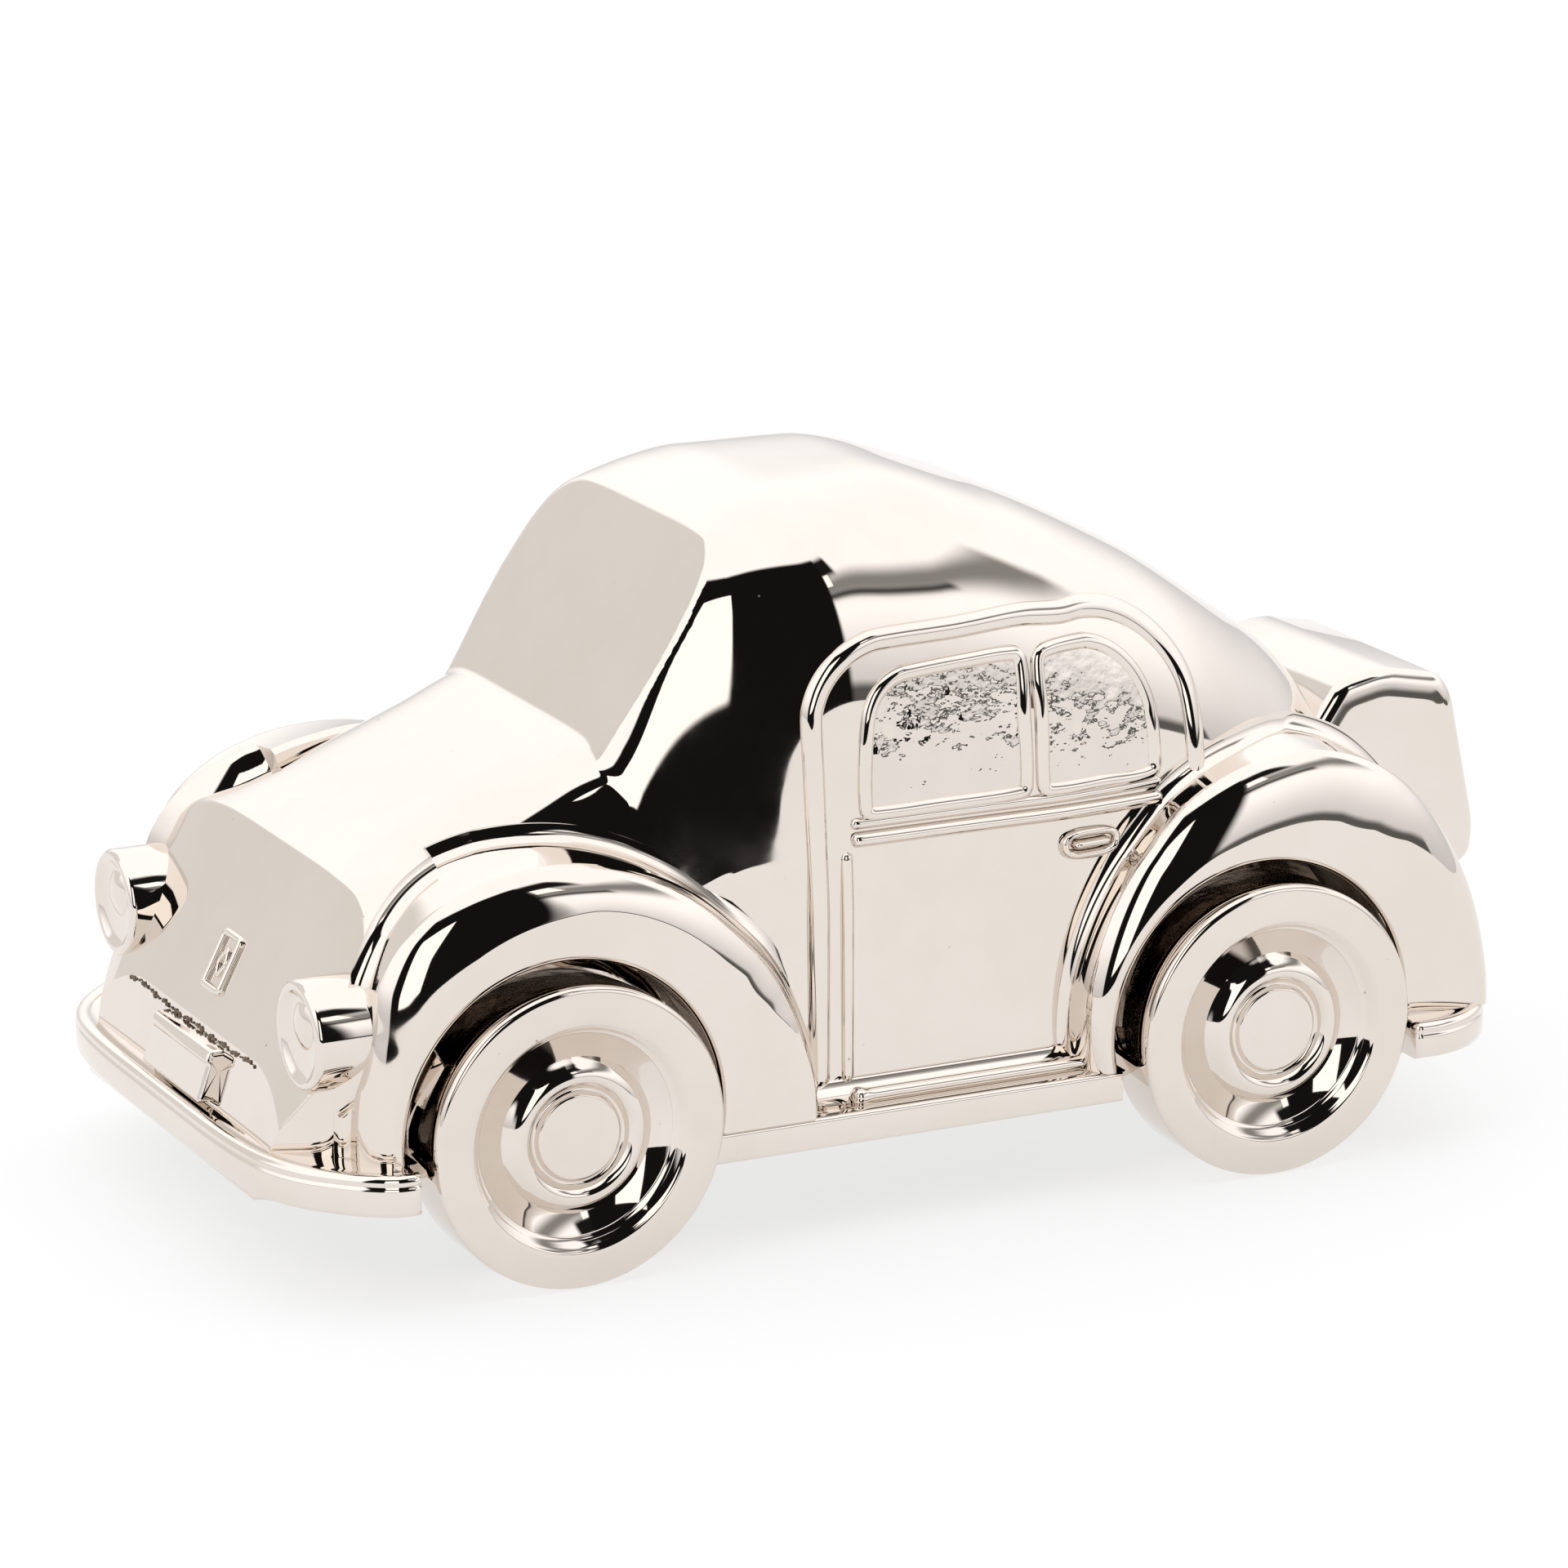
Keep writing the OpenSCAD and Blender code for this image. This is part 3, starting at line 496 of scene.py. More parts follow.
DOOR_LINE = (
    [[0.59, 0.9], [0.59, 1.6], [0.59, 2.4], [0.59, 2.95]]
    + arc(0.04, 3.28, 0.55, 0.53, 8, 84)
    + [[-0.45, 3.82], [-0.95, 3.84]]
    + arc(-1.4, 3.08, 0.86, 0.74, 82, 176)
    + [[-2.27, 2.7], [-2.26, 2.46]]
)
FRONT_FRAME = (
    [[0.24, 2.72], [0.23, 3.1]]
    + arc(-0.12, 3.24, 0.33, 0.34, 8, 84)
    + [[-0.5, 3.605], [-0.88, 3.61], [-0.93, 3.56], [-0.93, 3.2], [-0.93, 2.74]]
    + [[-0.9, 2.7], [-0.3, 2.69], [0.2, 2.69]]
)
REAR_FRAME = (
    [[-1.06, 2.72], [-1.06, 3.2], [-1.06, 3.54], [-1.12, 3.6]]
    + arc(-1.36, 3.02, 0.56, 0.6, 96, 172)
    + [[-1.93, 2.8], [-1.9, 2.7], [-1.5, 2.69], [-1.1, 2.69]]
)
BELT_TOP = [[0.36, 2.635], [-0.4, 2.635], [-1.2, 2.63], [-1.98, 2.63]]
BELT_LOW = [[0.36, 2.53], [-0.4, 2.53], [-1.2, 2.525], [-1.98, 2.52]]
PILLAR = [[0.385, 0.9], [0.385, 1.6], [0.385, 2.46]]


RIPPLES = ((9, 1.0), (17, 0.6), (31, 0.35), (57, 0.16))  # waves per turn and their share of the height
PANE_INSET = 0.02


def pane(frame_path, seed):
    """Window pane: rings from the frame's outline in to its middle, raised a hair, with small ripples."""
    outline = spaced(frame_path, 0.025, closed=True)
    mid = outline.mean(0)
    shrink = np.concatenate([[1.0], np.linspace(1.0, 0.0, 48)])[:, None, None]
    size = 1 - PANE_INSET / np.linalg.norm(outline - mid, axis=1).mean()
    place = mid + (outline - mid)[None] * shrink * size
    rng = np.random.default_rng(seed)
    x, z = place[..., 0], place[..., 1]
    ripple = np.zeros_like(x)
    for scale, part in RIPPLES:
        for _ in range(4):
            angle, phase = rng.uniform(0, 2 * np.pi, 2)
            ripple += part * np.sin(scale * (np.cos(angle) * x + np.sin(angle) * z) + phase)
    band = np.exp(-(((z - 3.12) / 0.16) ** 2))
    edge = np.clip((1 - shrink[..., 0]) * 10, 0, 1)
    lift = 0.006 + edge * (0.0005 + 0.0024 * band) * ripple
    lift[0] = -SINK
    back = place[:1] * 0 + mid
    rows = surface_point(place, lift)
    close = surface_point(back, np.full((1, len(outline)), -SINK))
    return Grid(to_metres(np.concatenate([close, rows])), wrap_cols=True)


# ---------------------------------------------------------------- blocks


def slab(outline, half_width, edge):
    """Closed block: a convex (x, z) outline carried across Y, drawn in over its rounded end edges."""
    p = np.asarray(outline, float)
    t = np.roll(p, -1, 0) - np.roll(p, 1, 0)
    t = t / np.linalg.norm(t, axis=1, keepdims=True)
    area = np.sum(p[:, 0] * np.roll(p[:, 1], -1) - p[:, 1] * np.roll(p[:, 0], -1))
    inward = np.stack([-t[:, 1], t[:, 0]], -1) * np.sign(area)
    a = np.linspace(0, np.pi / 2, 7)
    depth = np.concatenate([edge * (1 - np.sin(a)), edge * (1 - np.sin(a[::-1]))])
    y = np.concatenate([-half_width + edge * (1 - np.cos(a)), half_width - edge * (1 - np.cos(a[::-1]))])
    outlines = [p + inward * d for d in depth]
    rows = np.array([np.stack([q[:, 0], np.full(len(q), v), q[:, 1]], -1) for q, v in zip(outlines, y)])
    k = np.linspace(0, 1, 7)[:-1][:, None, None]
    first, last = (row.mean(0) + (row - row.mean(0))[None] * k for row in (rows[0], rows[-1]))
    return Grid(to_metres(np.concatenate([first, rows, last[::-1]])), wrap_cols=True)


TRUNK_OUTLINE = [
    [-3.0, 1.5], [-3.0, 2.45], [-3.55, 2.5], [-3.84, 2.86], [-4.2, 2.93], [-4.66, 2.84], [-4.755, 2.7],
    [-4.885, 1.78], [-4.84, 1.56], [-4.68, 1.48],
]


def trunk():
    """Luggage box: the side outline carried across, its sides leaning in a little towards the top."""
    half_width, edge, lean_in, foot_z = 1.07, 0.1, 0.13, 1.5
    box = slab(closed_round(TRUNK_OUTLINE, edge, 7), half_width, edge)
    box.points[..., 1] *= 1 - lean_in * (box.points[..., 2] / R - foot_z)
    return box


# Half plans of the bumpers, from the end beside the wheel to the middle line, and their heights
FRONT_PLAN = [
    [3.65, 2.418], [3.8, 2.404], [3.98, 2.3], [4.15, 2.14], [4.3, 1.95], [4.41, 1.7], [4.47, 1.35],
    [4.495, 0.9], [4.498, 0.4], [4.498, 0.0],
]
REAR_PLAN = [
    [3.6, 2.418], [3.85, 2.408], [4.1, 2.3], [4.3, 2.1], [4.44, 1.8], [4.52, 1.4], [4.57, 0.9],
    [4.6, 0.4], [4.6, 0.0],
]
FRONT_BAR, REAR_BAR = (0.66, 0.94), (0.65, 0.9)


def bumper_path(front, half_plan):
    """Plan line of a bumper from its left end round to its right end, a cubic through its places."""
    whole = np.vstack([half_plan, np.array(half_plan)[-2::-1] * [1, -1]])
    return spaced(whole, 0.04) * [front, 1]


def sweep_plan(path, section):
    """Closed section of (inward, z) carried along a plan line, inward measured square to the line."""
    t = np.gradient(path, axis=0)
    t = t / np.linalg.norm(t, axis=1, keepdims=True)
    inward = np.stack([t[:, 1], -t[:, 0]], -1)
    if np.dot(inward[len(path) // 2], path[len(path) // 2]) > 0:
        inward = -inward
    xy = path[:, None] + inward[:, None] * section[None, :, :1]
    z = np.broadcast_to(section[None, :, 1:], xy.shape[:2] + (1,))
    return Grid(to_metres(capped(np.concatenate([xy, z], -1))), wrap_cols=True)


def bumper(front, plan, low, high):
    """Bumper bar: flat face, fine groove, rolled top edge and a plateau that runs back to the body."""
    roll = 0.05
    a = np.radians(np.linspace(180, 20, 12))
    roll_points = np.stack([roll * 1.1 + roll * 1.1 * np.cos(a), high - roll + roll * np.sin(a)], -1)
    section = np.vstack([
        [[0.045, low], [0.012, low + 0.012], [0, low + 0.045]],
        [[0, high - 0.1], [0.004, high - 0.085], [0.016, high - 0.075], [0.016, high - 0.07]],
        roll_points,
        [[0.16, high - 0.022], [0.3, high - 0.018], [0.55, high - 0.016], [0.55, low + 0.02], [0.5, low]],
    ])
    return sweep_plan(bumper_path(front, plan), section)


# ---------------------------------------------------------------- lamps, handle, badge

LAMP = (4.155, 1.63, 1.685)
LAMP_R = 0.365
LAMP_RIM = 0.045


def turned_x(profile, centre, count=96):
    """A profile of (radius, x) turned about a line along X."""
    p = np.asarray(profile, float)
    a = np.linspace(0, 2 * np.pi, count, endpoint=False)[:, None]
    y = centre[1] + p[None, :, 0] * np.cos(a)
    z = centre[2] + p[None, :, 0] * np.sin(a)
    x = np.broadcast_to(p[None, :, 1], y.shape)
    return Grid(to_metres(np.stack([x, y, z], -1)), wrap_rows=True)


def nose_foot_shade():
    """Painted shade in the crease along the foot of the nose: a hair-thin crooked dark bar whose thickness
    wanders.
    """
    rng = np.random.default_rng(5)
    y = np.linspace(-1.2, 1.0, 400)
    wander = sum(rng.uniform(0.3, 1) * np.sin(f * y + rng.uniform(0, 6.28)) for f in (3, 7, 13, 29, 53, 97))
    r = np.clip(0.009 + 0.006 * np.sin(31 * y) + 0.005 * np.sin(83 * y + 1), 0.001, 0.02)
    r[[0, -1]] = 0
    a = np.linspace(0, 2 * np.pi, 8, endpoint=False)
    drop = 0.007 * wander[:, None]
    z = NOSE_FOOT[1] + drop + r[:, None] * np.sin(a)
    x = NOSE_FOOT[0] - 0.004 - 0.3 * drop + 0.6 * r[:, None] * np.cos(a)
    return Grid(to_metres(np.stack([x, np.broadcast_to(y[:, None], z.shape), z], -1)), wrap_cols=True)


def lamp_drum(side):
    """Headlight: a drum with a rolled rim and a shallow dished face."""
    front = LAMP[0]
    a = np.radians(np.linspace(0, 130, 12))
    rim_r = LAMP_R - LAMP_RIM + LAMP_RIM * np.cos(a)
    rim_x = front - LAMP_RIM + LAMP_RIM * np.sin(a)
    back = [[0, 3.5], [LAMP_R * 0.97, 3.5], [LAMP_R, 3.8]]
    face = [[LAMP_R - 0.1, front - 0.035], [LAMP_R - 0.14, front - 0.045], [0.15, front - 0.05]]
    profile = np.vstack([back, np.stack([rim_r, rim_x], -1), face, [[0.0, front - 0.05]]])
    return turned_x(profile, (0, side * LAMP[1], LAMP[2]))


def lamp_eye(side):
    """Lens: a low round dome a little above the middle of the lamp face, with a soft foot."""
    radius, height, back = 0.16, 0.05, LAMP[0] - 0.08
    r = np.linspace(0, 1, 16)
    dome = height * np.cos(r * np.pi / 2) ** 0.8
    profile = np.stack([radius * r, LAMP[0] - 0.052 + dome], -1)[::-1]
    profile = np.vstack([[[0, back], [radius, back]], profile])
    return turned_x(profile, (0, side * LAMP[1], LAMP[2] + 0.07), 64)


def lamp_pod(side):
    """Fairing below a lamp: level ellipses that shrink and slide back from the drum down to the valance."""
    k = np.linspace(0, 1, 40)[:, None]
    a = np.linspace(0, 2 * np.pi, 72, endpoint=False)[None]
    head_z, foot_z = LAMP[2] - 0.1, 0.93
    wide = LAMP_R * (1.0 - 0.5 * k**1.6)
    long = 0.46 * (1 - 0.3 * k)
    x = 3.62 + 0.12 * k + long * np.sign(np.cos(a)) * np.abs(np.cos(a)) ** 0.8
    y = side * (LAMP[1] - 0.05 * k + wide * np.sin(a))
    z = head_z - k * (head_z - foot_z) + 0 * a
    return Grid(to_metres(capped(np.stack([x, y, z], -1))), wrap_cols=True)


HANDLE = (-1.4, 2.3)


def handle_ring():
    """Door handle: a rounded ring round a long oval, with a bar across its middle."""
    x, z = HANDLE
    thick, half_bar = 0.035, 0.15
    a = np.linspace(0, 2 * np.pi, 96, endpoint=False)
    oval_x = x + 0.2 * np.sign(np.cos(a)) * np.abs(np.cos(a)) ** 0.6
    oval_z = z + 0.075 * np.sign(np.sin(a)) * np.abs(np.sin(a)) ** 0.8
    ring = bead(np.stack([oval_x, oval_z], -1), thick, 0.055, closed=True)
    bar = bead([[x + half_bar, z], [x, z], [x - half_bar, z]], thick, 0.075)
    return [ring, bar]


def badge_parts():
    """Plain badge on the leaning nose: a rectangular frame of rounded bars round a small rhomb."""
    tilt = np.radians(27.1)
    up = np.array([-np.sin(tilt), 0, np.cos(tilt)])
    out = np.array([np.cos(tilt), 0, np.sin(tilt)])
    middle_z = middle("bonnet_badge")[2] / R
    centre = np.array([NOSE_TOP[0] + (NOSE_TOP[1] - middle_z) * np.tan(tilt), 0, middle_z])
    grids = []
    for chain, r in ((frame_outline(0.13, 0.185), 0.028), (frame_outline(0.058, 0.105, True), 0.018)):
        p = spaced(chain, 0.012, closed=True)
        t = np.roll(p, -1, 0) - np.roll(p, 1, 0)
        t = t / np.linalg.norm(t, axis=1, keepdims=True)
        across = np.stack([-t[:, 1], t[:, 0]], -1)
        a = np.linspace(0, 2 * np.pi, 12, endpoint=False)
        flat = p[:, None] + across[:, None] * (r * np.cos(a))[None, :, None]
        lift = 0.004 + r * np.sin(a) * 1.1
        rows = centre + flat[..., :1] * np.array([0, 1, 0]) + flat[..., 1:] * up + lift[None, :, None] * out
        grids.append(Grid(to_metres(rows), wrap_rows=True, wrap_cols=True))
    return grids


def frame_outline(half_y, half_z, rhomb=False):
    """Rectangle with rounded corners, or a rhomb on the same half sizes, as (y, z)."""
    if rhomb:
        corners = [[half_y, 0], [0, half_z], [-half_y, 0], [0, -half_z]]
    else:
        corners = [[half_y, -half_z], [half_y, half_z], [-half_y, half_z], [-half_y, -half_z]]
    return closed_round(corners, 0.03, 5)


def plate_block():
    """Number plate: a thin block with a rolled top edge standing on the bumper against the valance."""
    low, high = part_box("number_plate")
    x0, x1 = (low.x - MID_X) / R, (high.x - MID_X) / R
    z0, z1 = low.z / R, high.z / R
    edge = 0.03
    roll = [[x1 - 0.085, z1 - 0.09], [x1 - 0.07, z1 - 0.07], [x1 - 0.1, z1]]
    return slab(closed_round([[x0, z0], [x1, z0]] + roll + [[x0, z1]], edge), high.y / R, edge)


# ---------------------------------------------------------------- wheels

# Profiles of (radius, height above the outer face)
TYRE = [
    [0.0, -0.12], [0.7, -0.12], [0.72, -0.02], [0.738, -0.018], [0.746, -0.006], [0.76, 0.0], [0.80, 0.0],
    [0.96, 0.0], [0.978, -0.004], [0.992, -0.016], [0.9985, -0.034], [1.0, -0.06], [1.0, -0.46],
    [0.992, -0.5], [0.97, -0.525], [0.9, -0.533], [0.82, -0.533], [0.8, -0.3], [0.34, -0.3], [0.3, -0.533],
    [0.18, -0.533], [0.18, -0.6], [0.0, -0.6],
]
CAP_BACK = [[0.742, -0.1], [0.0, -0.11]]
CAP = [
    [0.0, -0.05], [0.262, -0.05], [0.278, -0.054], [0.286, -0.066], [0.296, -0.083], [0.312, -0.09],
    [0.33, -0.078], [0.35, -0.048], [0.375, -0.026], [0.405, -0.02], [0.44, -0.034], [0.48, -0.066],
    [0.53, -0.112], [0.575, -0.148], [0.605, -0.162], [0.63, -0.16], [0.648, -0.144], [0.66, -0.118],
    [0.675, -0.096], [0.695, -0.084], [0.715, -0.066], [0.73, -0.04], [0.742, -0.02],
]


def on_wheel(wheel, side, profile):
    """A profile turned about the axle of a wheel, its heights counted from the wheel's outer face."""
    x, _, z = middle(wheel)
    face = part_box(wheel)[1 if side > 0 else 0].y
    return turned(np.asarray(profile) * R, (x, face, z), side)


def cap_profile():
    """Hub cap: flat middle disc, fine groove, rolled ring and a dish that rises again to the tyre."""
    return np.vstack([spaced(CAP, 0.006), CAP_BACK])


# ---------------------------------------------------------------- finishes


def node_group(name, inputs, outputs):
    """Empty shader group with named sockets; returns the group and its input and output nodes."""
    group = bpy.data.node_groups.new(name, "ShaderNodeTree")
    for label, kind, value in inputs:
        socket = group.interface.new_socket(label, in_out="INPUT", socket_type=kind)
        if value is not None:
            socket.default_value = value
    for label, kind in outputs:
        group.interface.new_socket(label, in_out="OUTPUT", socket_type=kind)
    return group, group.nodes.new("NodeGroupInput"), group.nodes.new("NodeGroupOutput")


def feed(tree, socket, value):
    """Joins a socket to another, or sets it to a plain number or colour."""
    if isinstance(value, (int, float, tuple)):
        socket.default_value = value
    else:
        tree.links.new(value, socket)


def math_node(tree, operation, *values):
    """Math node whose inputs are sockets or plain numbers."""
    n = tree.nodes.new("ShaderNodeMath")
    n.operation = operation
    for socket, value in zip(n.inputs, values):
        feed(tree, socket, value)
    return n.outputs[0]


def noise(tree, vector, scale, detail=2.0, rough=0.5):
    """Noise texture on a vector."""
    n = tree.nodes.new("ShaderNodeTexNoise")
    tree.links.new(vector, n.inputs["Vector"])
    n.inputs["Detail"].default_value = detail
    n.inputs["Roughness"].default_value = rough
    feed(tree, n.inputs["Scale"], scale)
    return n.outputs["Fac"]


def ramp(tree, fac, low, high):
    """Map Range from low..high to 0..1, clamped and smoothed."""
    n = tree.nodes.new("ShaderNodeMapRange")
    n.interpolation_type = "SMOOTHSTEP"
    tree.links.new(fac, n.inputs["Value"])
    n.inputs["From Min"].default_value = low
    n.inputs["From Max"].default_value = high
    return n.outputs["Result"]


def mix_colour(tree, fac, a, b):
    """Mix of two colours, each a socket or a plain colour."""
    n = tree.nodes.new("ShaderNodeMix")
    n.data_type = "RGBA"
    for socket, value in ((n.inputs[0], fac), (n.inputs[6], a), (n.inputs[7], b)):
        feed(tree, socket, value)
    return n.outputs[2]


def build_plating_group():
    """Plating: drifting tone, fine dust specks and light haze; height holds cast ripple and pinholes."""
    group, gin, gout = node_group(
        "plating",
        [
            ("Vector", "NodeSocketVector", None),
            ("Light tone", "NodeSocketColor", (0.9, 0.87, 0.83, 1)),
            ("Deep tone", "NodeSocketColor", (0.8, 0.76, 0.72, 1)),
            ("Ripple scale", "NodeSocketFloat", 60.0),
            ("Pit share", "NodeSocketFloat", 0.5), ("Haze", "NodeSocketFloat", 0.03),
        ],
        [("Color", "NodeSocketColor"), ("Roughness", "NodeSocketFloat"), ("Height", "NodeSocketFloat")],
    )
    vector = gin.outputs["Vector"]
    drift = noise(group, vector, 35.0, 2.0)
    cloud = noise(group, vector, 260.0, 3.0)
    drift_part = math_node(group, "MULTIPLY", drift, 0.7)
    tone = math_node(group, "ADD", drift_part, math_node(group, "MULTIPLY", cloud, 0.3))
    deep, light = gin.outputs["Deep tone"], gin.outputs["Light tone"]
    colour = mix_colour(group, ramp(group, tone, 0.35, 0.65), deep, light)
    cells = group.nodes.new("ShaderNodeTexVoronoi")
    cells.inputs["Scale"].default_value = 420.0
    group.links.new(vector, cells.inputs["Vector"])
    dot = math_node(group, "SUBTRACT", 1.0, ramp(group, cells.outputs["Distance"], 0.03, 0.09))
    rare = ramp(group, noise(group, vector, 150.0, 1.0), 0.62, 0.7)
    speck = math_node(group, "MULTIPLY", dot, rare)
    colour = mix_colour(group, math_node(group, "MULTIPLY", speck, 0.55), colour, (0.18, 0.15, 0.12, 1))
    haze = math_node(group, "MULTIPLY", ramp(group, noise(group, vector, 90.0, 4.0, 0.6), 0.4, 0.75), 0.03)
    rough = math_node(group, "ADD", gin.outputs["Haze"], haze)
    rough = math_node(group, "ADD", rough, math_node(group, "MULTIPLY", speck, 0.3))
    ripple = noise(group, vector, gin.outputs["Ripple scale"], 2.0, 0.45)
    pits = math_node(group, "MULTIPLY", speck, math_node(group, "MULTIPLY", gin.outputs["Pit share"], -0.4))
    height = math_node(group, "ADD", ripple, pits)
    group.links.new(colour, gout.inputs["Color"])
    group.links.new(rough, gout.inputs["Roughness"])
    group.links.new(height, gout.inputs["Height"])
    return group


PLATING = build_plating_group()


def plated(name, light, deep, ripple_scale=60.0, ripple=0.04, pits=0.5, haze=0.02, reach=0.0004):
    """Plated finish: metal over the plating group, its ripple as a faint bump."""
    material = bpy.data.materials.new(name)
    material.use_nodes = True
    tree = material.node_tree
    shader = tree.nodes["Principled BSDF"]
    shader.inputs["Metallic"].default_value = 1.0
    group = tree.nodes.new("ShaderNodeGroup")
    group.node_tree = PLATING
    coords = tree.nodes.new("ShaderNodeTexCoord")
    tree.links.new(coords.outputs["Object"], group.inputs["Vector"])
    group.inputs["Light tone"].default_value = light + (1,)
    group.inputs["Deep tone"].default_value = deep + (1,)
    group.inputs["Ripple scale"].default_value = ripple_scale
    group.inputs["Pit share"].default_value = pits
    group.inputs["Haze"].default_value = haze
    bump = tree.nodes.new("ShaderNodeBump")
    bump.inputs["Strength"].default_value = ripple
    bump.inputs["Distance"].default_value = reach
    tree.links.new(group.outputs["Height"], bump.inputs["Height"])
    tree.links.new(group.outputs["Color"], shader.inputs["Base Color"])
    tree.links.new(group.outputs["Roughness"], shader.inputs["Roughness"])
    tree.links.new(bump.outputs["Normal"], shader.inputs["Normal"])
    return material


shell_plate = plated("shell_plate", (0.80, 0.735, 0.675), (0.77, 0.70, 0.64), 70.0, 0.03)
trim_plate = plated("trim_plate", (0.80, 0.74, 0.68), (0.77, 0.70, 0.64), 120.0, 0.04)
pane_plate = plated("pane_plate", (0.78, 0.72, 0.665), (0.74, 0.68, 0.62), 900.0, 0.35, 1.0, 0.03, 0.0003)
wheel_plate = plated("wheel_plate", (0.79, 0.72, 0.66), (0.76, 0.69, 0.63), 90.0, 0.03)
under_plate = plated("under_plate", (0.62, 0.61, 0.6), (0.5, 0.48, 0.46), 300.0, 0.3, 1.0, 0.28)
# Dark brown finish that paints shade inside the wheel arches and along the crease at the foot of the nose.
painted_shade = plated("painted_shade", (0.16, 0.12, 0.09), (0.05, 0.035, 0.025), 260.0, 0.5, 1.0, 0.22, 0.0006)
drawn_steel = plated("drawn_steel", (0.6, 0.6, 0.6), (0.48, 0.48, 0.49), 700.0, 0.3, 1.0, 0.22)

# ---------------------------------------------------------------- assembly of the looks



def side_pieces(side, word):
    """Pieces that come in pairs, for one side of the car."""

    def on_side(*grids):
        """Left-hand grids as they are, or their mirror image for the right side."""
        return list(grids) if side > 0 else [g.mirrored() for g in grids]

    front, rear = fender(AXLE, FRONT_CREST, FRONT_CREASE), fender(-AXLE, REAR_CREST, REAR_CREASE)
    make_piece(f"fender_front_{word}", on_side(front), CAR, shell_plate, sharp=50)
    make_piece(f"fender_rear_{word}", on_side(rear), CAR, shell_plate, sharp=50)
    # The dark hoops inside the arches are painted shade.
    shade_hoops = on_side(arch_shade_hoop(AXLE), arch_shade_hoop(-AXLE))
    make_piece(f"arch_shades_{word}", shade_hoops, CAR, painted_shade, sharp=40)
    make_piece(f"sill_{word}", on_side(sill()), CAR, shell_plate, sharp=50)
    beads = on_side(
        bead(DOOR_LINE, 0.075, 0.055), bead(PILLAR, 0.045, 0.032, 0.7), bead(BELT_TOP, 0.04, 0.038),
        bead(BELT_LOW, 0.055, 0.06), foot_roll(),
    )
    make_piece(f"door_mouldings_{word}", beads, CAR, shell_plate)
    frames = on_side(*(bead(path, 0.055, 0.045, closed=True) for path in (FRONT_FRAME, REAR_FRAME)))
    make_piece(f"window_frames_{word}", frames, CAR, shell_plate)
    panes = on_side(pane(FRONT_FRAME, 11 + side), pane(REAR_FRAME, 31 + side))
    make_piece(f"window_panes_{word}", panes, CAR, pane_plate)
    make_piece(f"handle_{word}", on_side(*handle_ring()), CAR, trim_plate, nodes=[f"door_handle_{word}"])
    make_piece(f"lamp_{word}", [lamp_drum(side)], CAR, trim_plate, nodes=[f"headlight_{word}"])
    make_piece(f"lamp_lens_{word}", [lamp_eye(side)], CAR, trim_plate, nodes=[f"headlight_lens_{word}"])
    make_piece(f"lamp_pod_{word}", [lamp_pod(side)], CAR, shell_plate)


body_skin(shell_plate)
for side, word in SIDES:
    side_pieces(side, word)
make_piece("trunk_box", [trunk()], CAR, trim_plate, nodes=["luggage_trunk"])
make_piece("bumper_front", [bumper(1, FRONT_PLAN, *FRONT_BAR)], CAR, trim_plate, nodes=["front_bumper"])
make_piece("bumper_rear", [bumper(-1, REAR_PLAN, *REAR_BAR)], CAR, trim_plate, nodes=["rear_bumper"])
# Thin dark bar at the foot of the nose: painted shade in the crease.
make_piece("nose_foot_shade", [nose_foot_shade()], CAR, painted_shade)
make_piece("badge", badge_parts(), CAR, trim_plate, nodes=["bonnet_badge"])
make_piece("plate", [plate_block()], CAR, trim_plate, nodes=["number_plate"])
for end in ("front", "rear"):
    for side, word in SIDES:
        corner, turning = f"{end}_{word}", f"{end}_wheelset"
        wheel, cap = f"wheel_{corner}", f"hub_cap_{corner}"
        tyre, dish = on_wheel(wheel, side, TYRE), on_wheel(wheel, side, cap_profile())
        make_piece(f"tyre_{corner}", [tyre], turning, wheel_plate, [wheel])
        make_piece(f"cap_{corner}", [dish], turning, trim_plate, nodes=[cap])
hidden = {"base_plate": under_plate}
hidden.update(dict.fromkeys(("front_axle", "rear_axle", "base_screws"), drawn_steel))
for node, finish in hidden.items():
    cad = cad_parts[node]
    cad.data.materials.clear()
    cad.data.materials.append(finish)

# ---------------------------------------------------------------- floor, light, camera


def floor():
    """Wide pale floor that glows a little, so that it stays white under the dark screens."""
    mesh = bpy.data.meshes.new("floor")
    half = 6.0
    corners = [(-half, -half, 0), (half, -half, 0), (half, half, 0), (-half, half, 0)]
    mesh.from_pydata(corners, [], [(0, 1, 2, 3)])
    piece = bpy.data.objects.new("floor", mesh)
    bpy.context.scene.collection.objects.link(piece)
    material = bpy.data.materials.new("pale_floor")
    material.use_nodes = True
    tree = material.node_tree
    shader = tree.nodes["Principled BSDF"]
    shader.inputs["Roughness"].default_value = 0.9
    shader.inputs["Specular IOR Level"].default_value = 0.0
    shader.inputs["Base Color"].default_value = (0.3, 0.3, 0.3, 1)
    shader.inputs["Emission Color"].default_value = (1, 1, 1, 1)
    shader.inputs["Emission Strength"].default_value = 0.71
    mesh.materials.append(material)


def patch(tree, azimuth, lift, left, right, low, high, soft):
    """1 between two azimuths and two heights of a direction, in degrees, with soft edges."""
    mask = None
    for value, start, stop in ((azimuth, left, right), (lift, low, high)):
        inside = ramp(tree, value, start - soft, start + soft)
        outside = math_node(tree, "SUBTRACT", 1.0, ramp(tree, value, stop - soft, stop + soft))
        both = math_node(tree, "MULTIPLY", inside, outside)
        mask = both if mask is None else math_node(tree, "MULTIPLY", mask, both)
    return mask


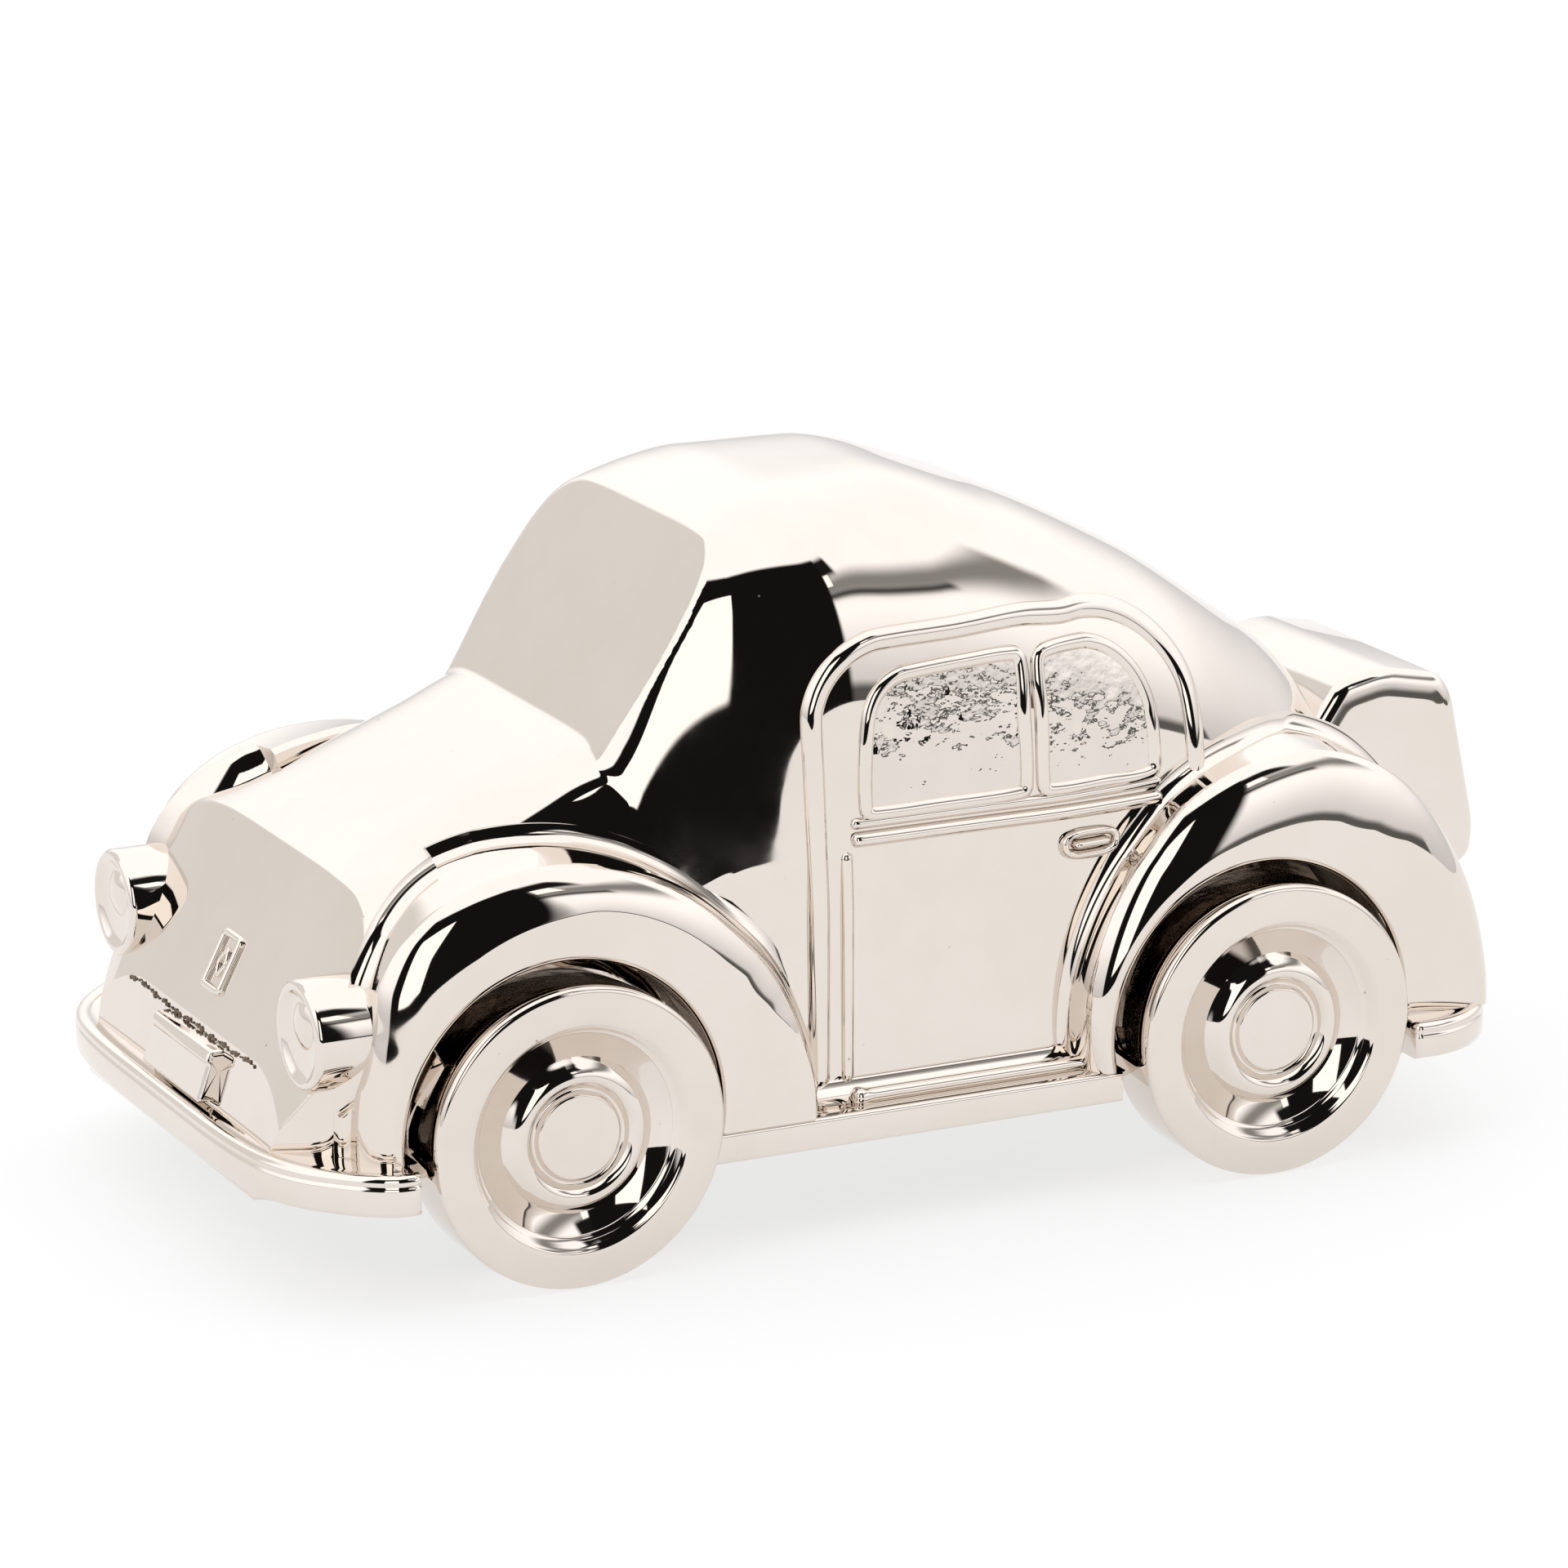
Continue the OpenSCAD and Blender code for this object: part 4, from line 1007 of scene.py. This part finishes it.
# Panels round the car: left and right azimuth, low and high edge in degrees, brightness, softness of edges.
# Azimuth 0 is ahead of the car and 90 is its left side; later panels stand before earlier ones.
PANELS = (
    (-78, -42, -5, 46, 0.86, 5.0),
    (95, 150, -4, 2.5, 0.12, 1.2),
    (100, 168, 32, 44, 0.30, 5.0),
    (100, 128, 45, 60, 0.012, 3.0),
    (100, 132, 31, 34.5, 0.08, 1.8),
    (36, 110, -12, 61, 0.008, 1.8),
    (54, 79, 5, 42, 1.45, 0.5),
    (110, 117, 38.5, 46.5, 1.4, 0.5),
)


def studio():
    """Soft white surround, dimmer near the horizon, with dark screens and softboxes at the left front."""
    world = bpy.data.worlds.new("studio")
    bpy.context.scene.world = world
    world.use_nodes = True
    tree = world.node_tree
    background = tree.nodes["Background"]
    coords = tree.nodes.new("ShaderNodeTexCoord")
    split = tree.nodes.new("ShaderNodeSeparateXYZ")
    tree.links.new(coords.outputs["Generated"], split.inputs[0])
    turn = math_node(tree, "ARCTAN2", split.outputs["Y"], split.outputs["X"])
    azimuth = math_node(tree, "DEGREES", turn)
    lift = math_node(tree, "DEGREES", math_node(tree, "ARCSINE", split.outputs["Z"]))
    colour = mix_colour(tree, ramp(tree, lift, -6.0, 26.0), (0.68, 0.68, 0.69, 1), (1.33, 1.34, 1.36, 1))
    for left, right, low, high, value, soft in PANELS:
        mask = patch(tree, azimuth, lift, left, right, low, high, soft)
        colour = mix_colour(tree, mask, colour, (value, value * 0.99, value * 0.97, 1))
    tree.links.new(colour, background.inputs["Color"])
    background.inputs["Strength"].default_value = 1.0


CAMERA_PLACE = (19.27, 39.39, 14.72)  # wheel radii from the middle between the axles
CAMERA_TURN, CAMERA_LIFT = 153.87, 15.68  # degrees
LENS, SENSOR = 155.8, 36  # millimetres


def camera():
    """Long lens from the front left, a little above the car."""
    data = bpy.data.cameras.new("camera")
    data.sensor_width, data.lens = SENSOR, LENS
    data.clip_start, data.clip_end = 0.01, 20
    eye = bpy.data.objects.new("camera", data)
    bpy.context.scene.collection.objects.link(eye)
    azimuth, lift = np.radians(CAMERA_TURN), np.radians(CAMERA_LIFT)
    back = Vector((np.sin(azimuth) * np.cos(lift), -np.cos(azimuth) * np.cos(lift), np.sin(lift)))
    right = Vector((np.cos(azimuth), np.sin(azimuth), 0))
    up = back.cross(right)
    turn = Matrix((right, up, back)).transposed().to_4x4()
    eye.matrix_world = Matrix.Translation(Vector(to_metres(CAMERA_PLACE))) @ turn
    bpy.context.scene.camera = eye


floor()
studio()
camera()
bpy.context.scene.view_settings.view_transform = "Standard"
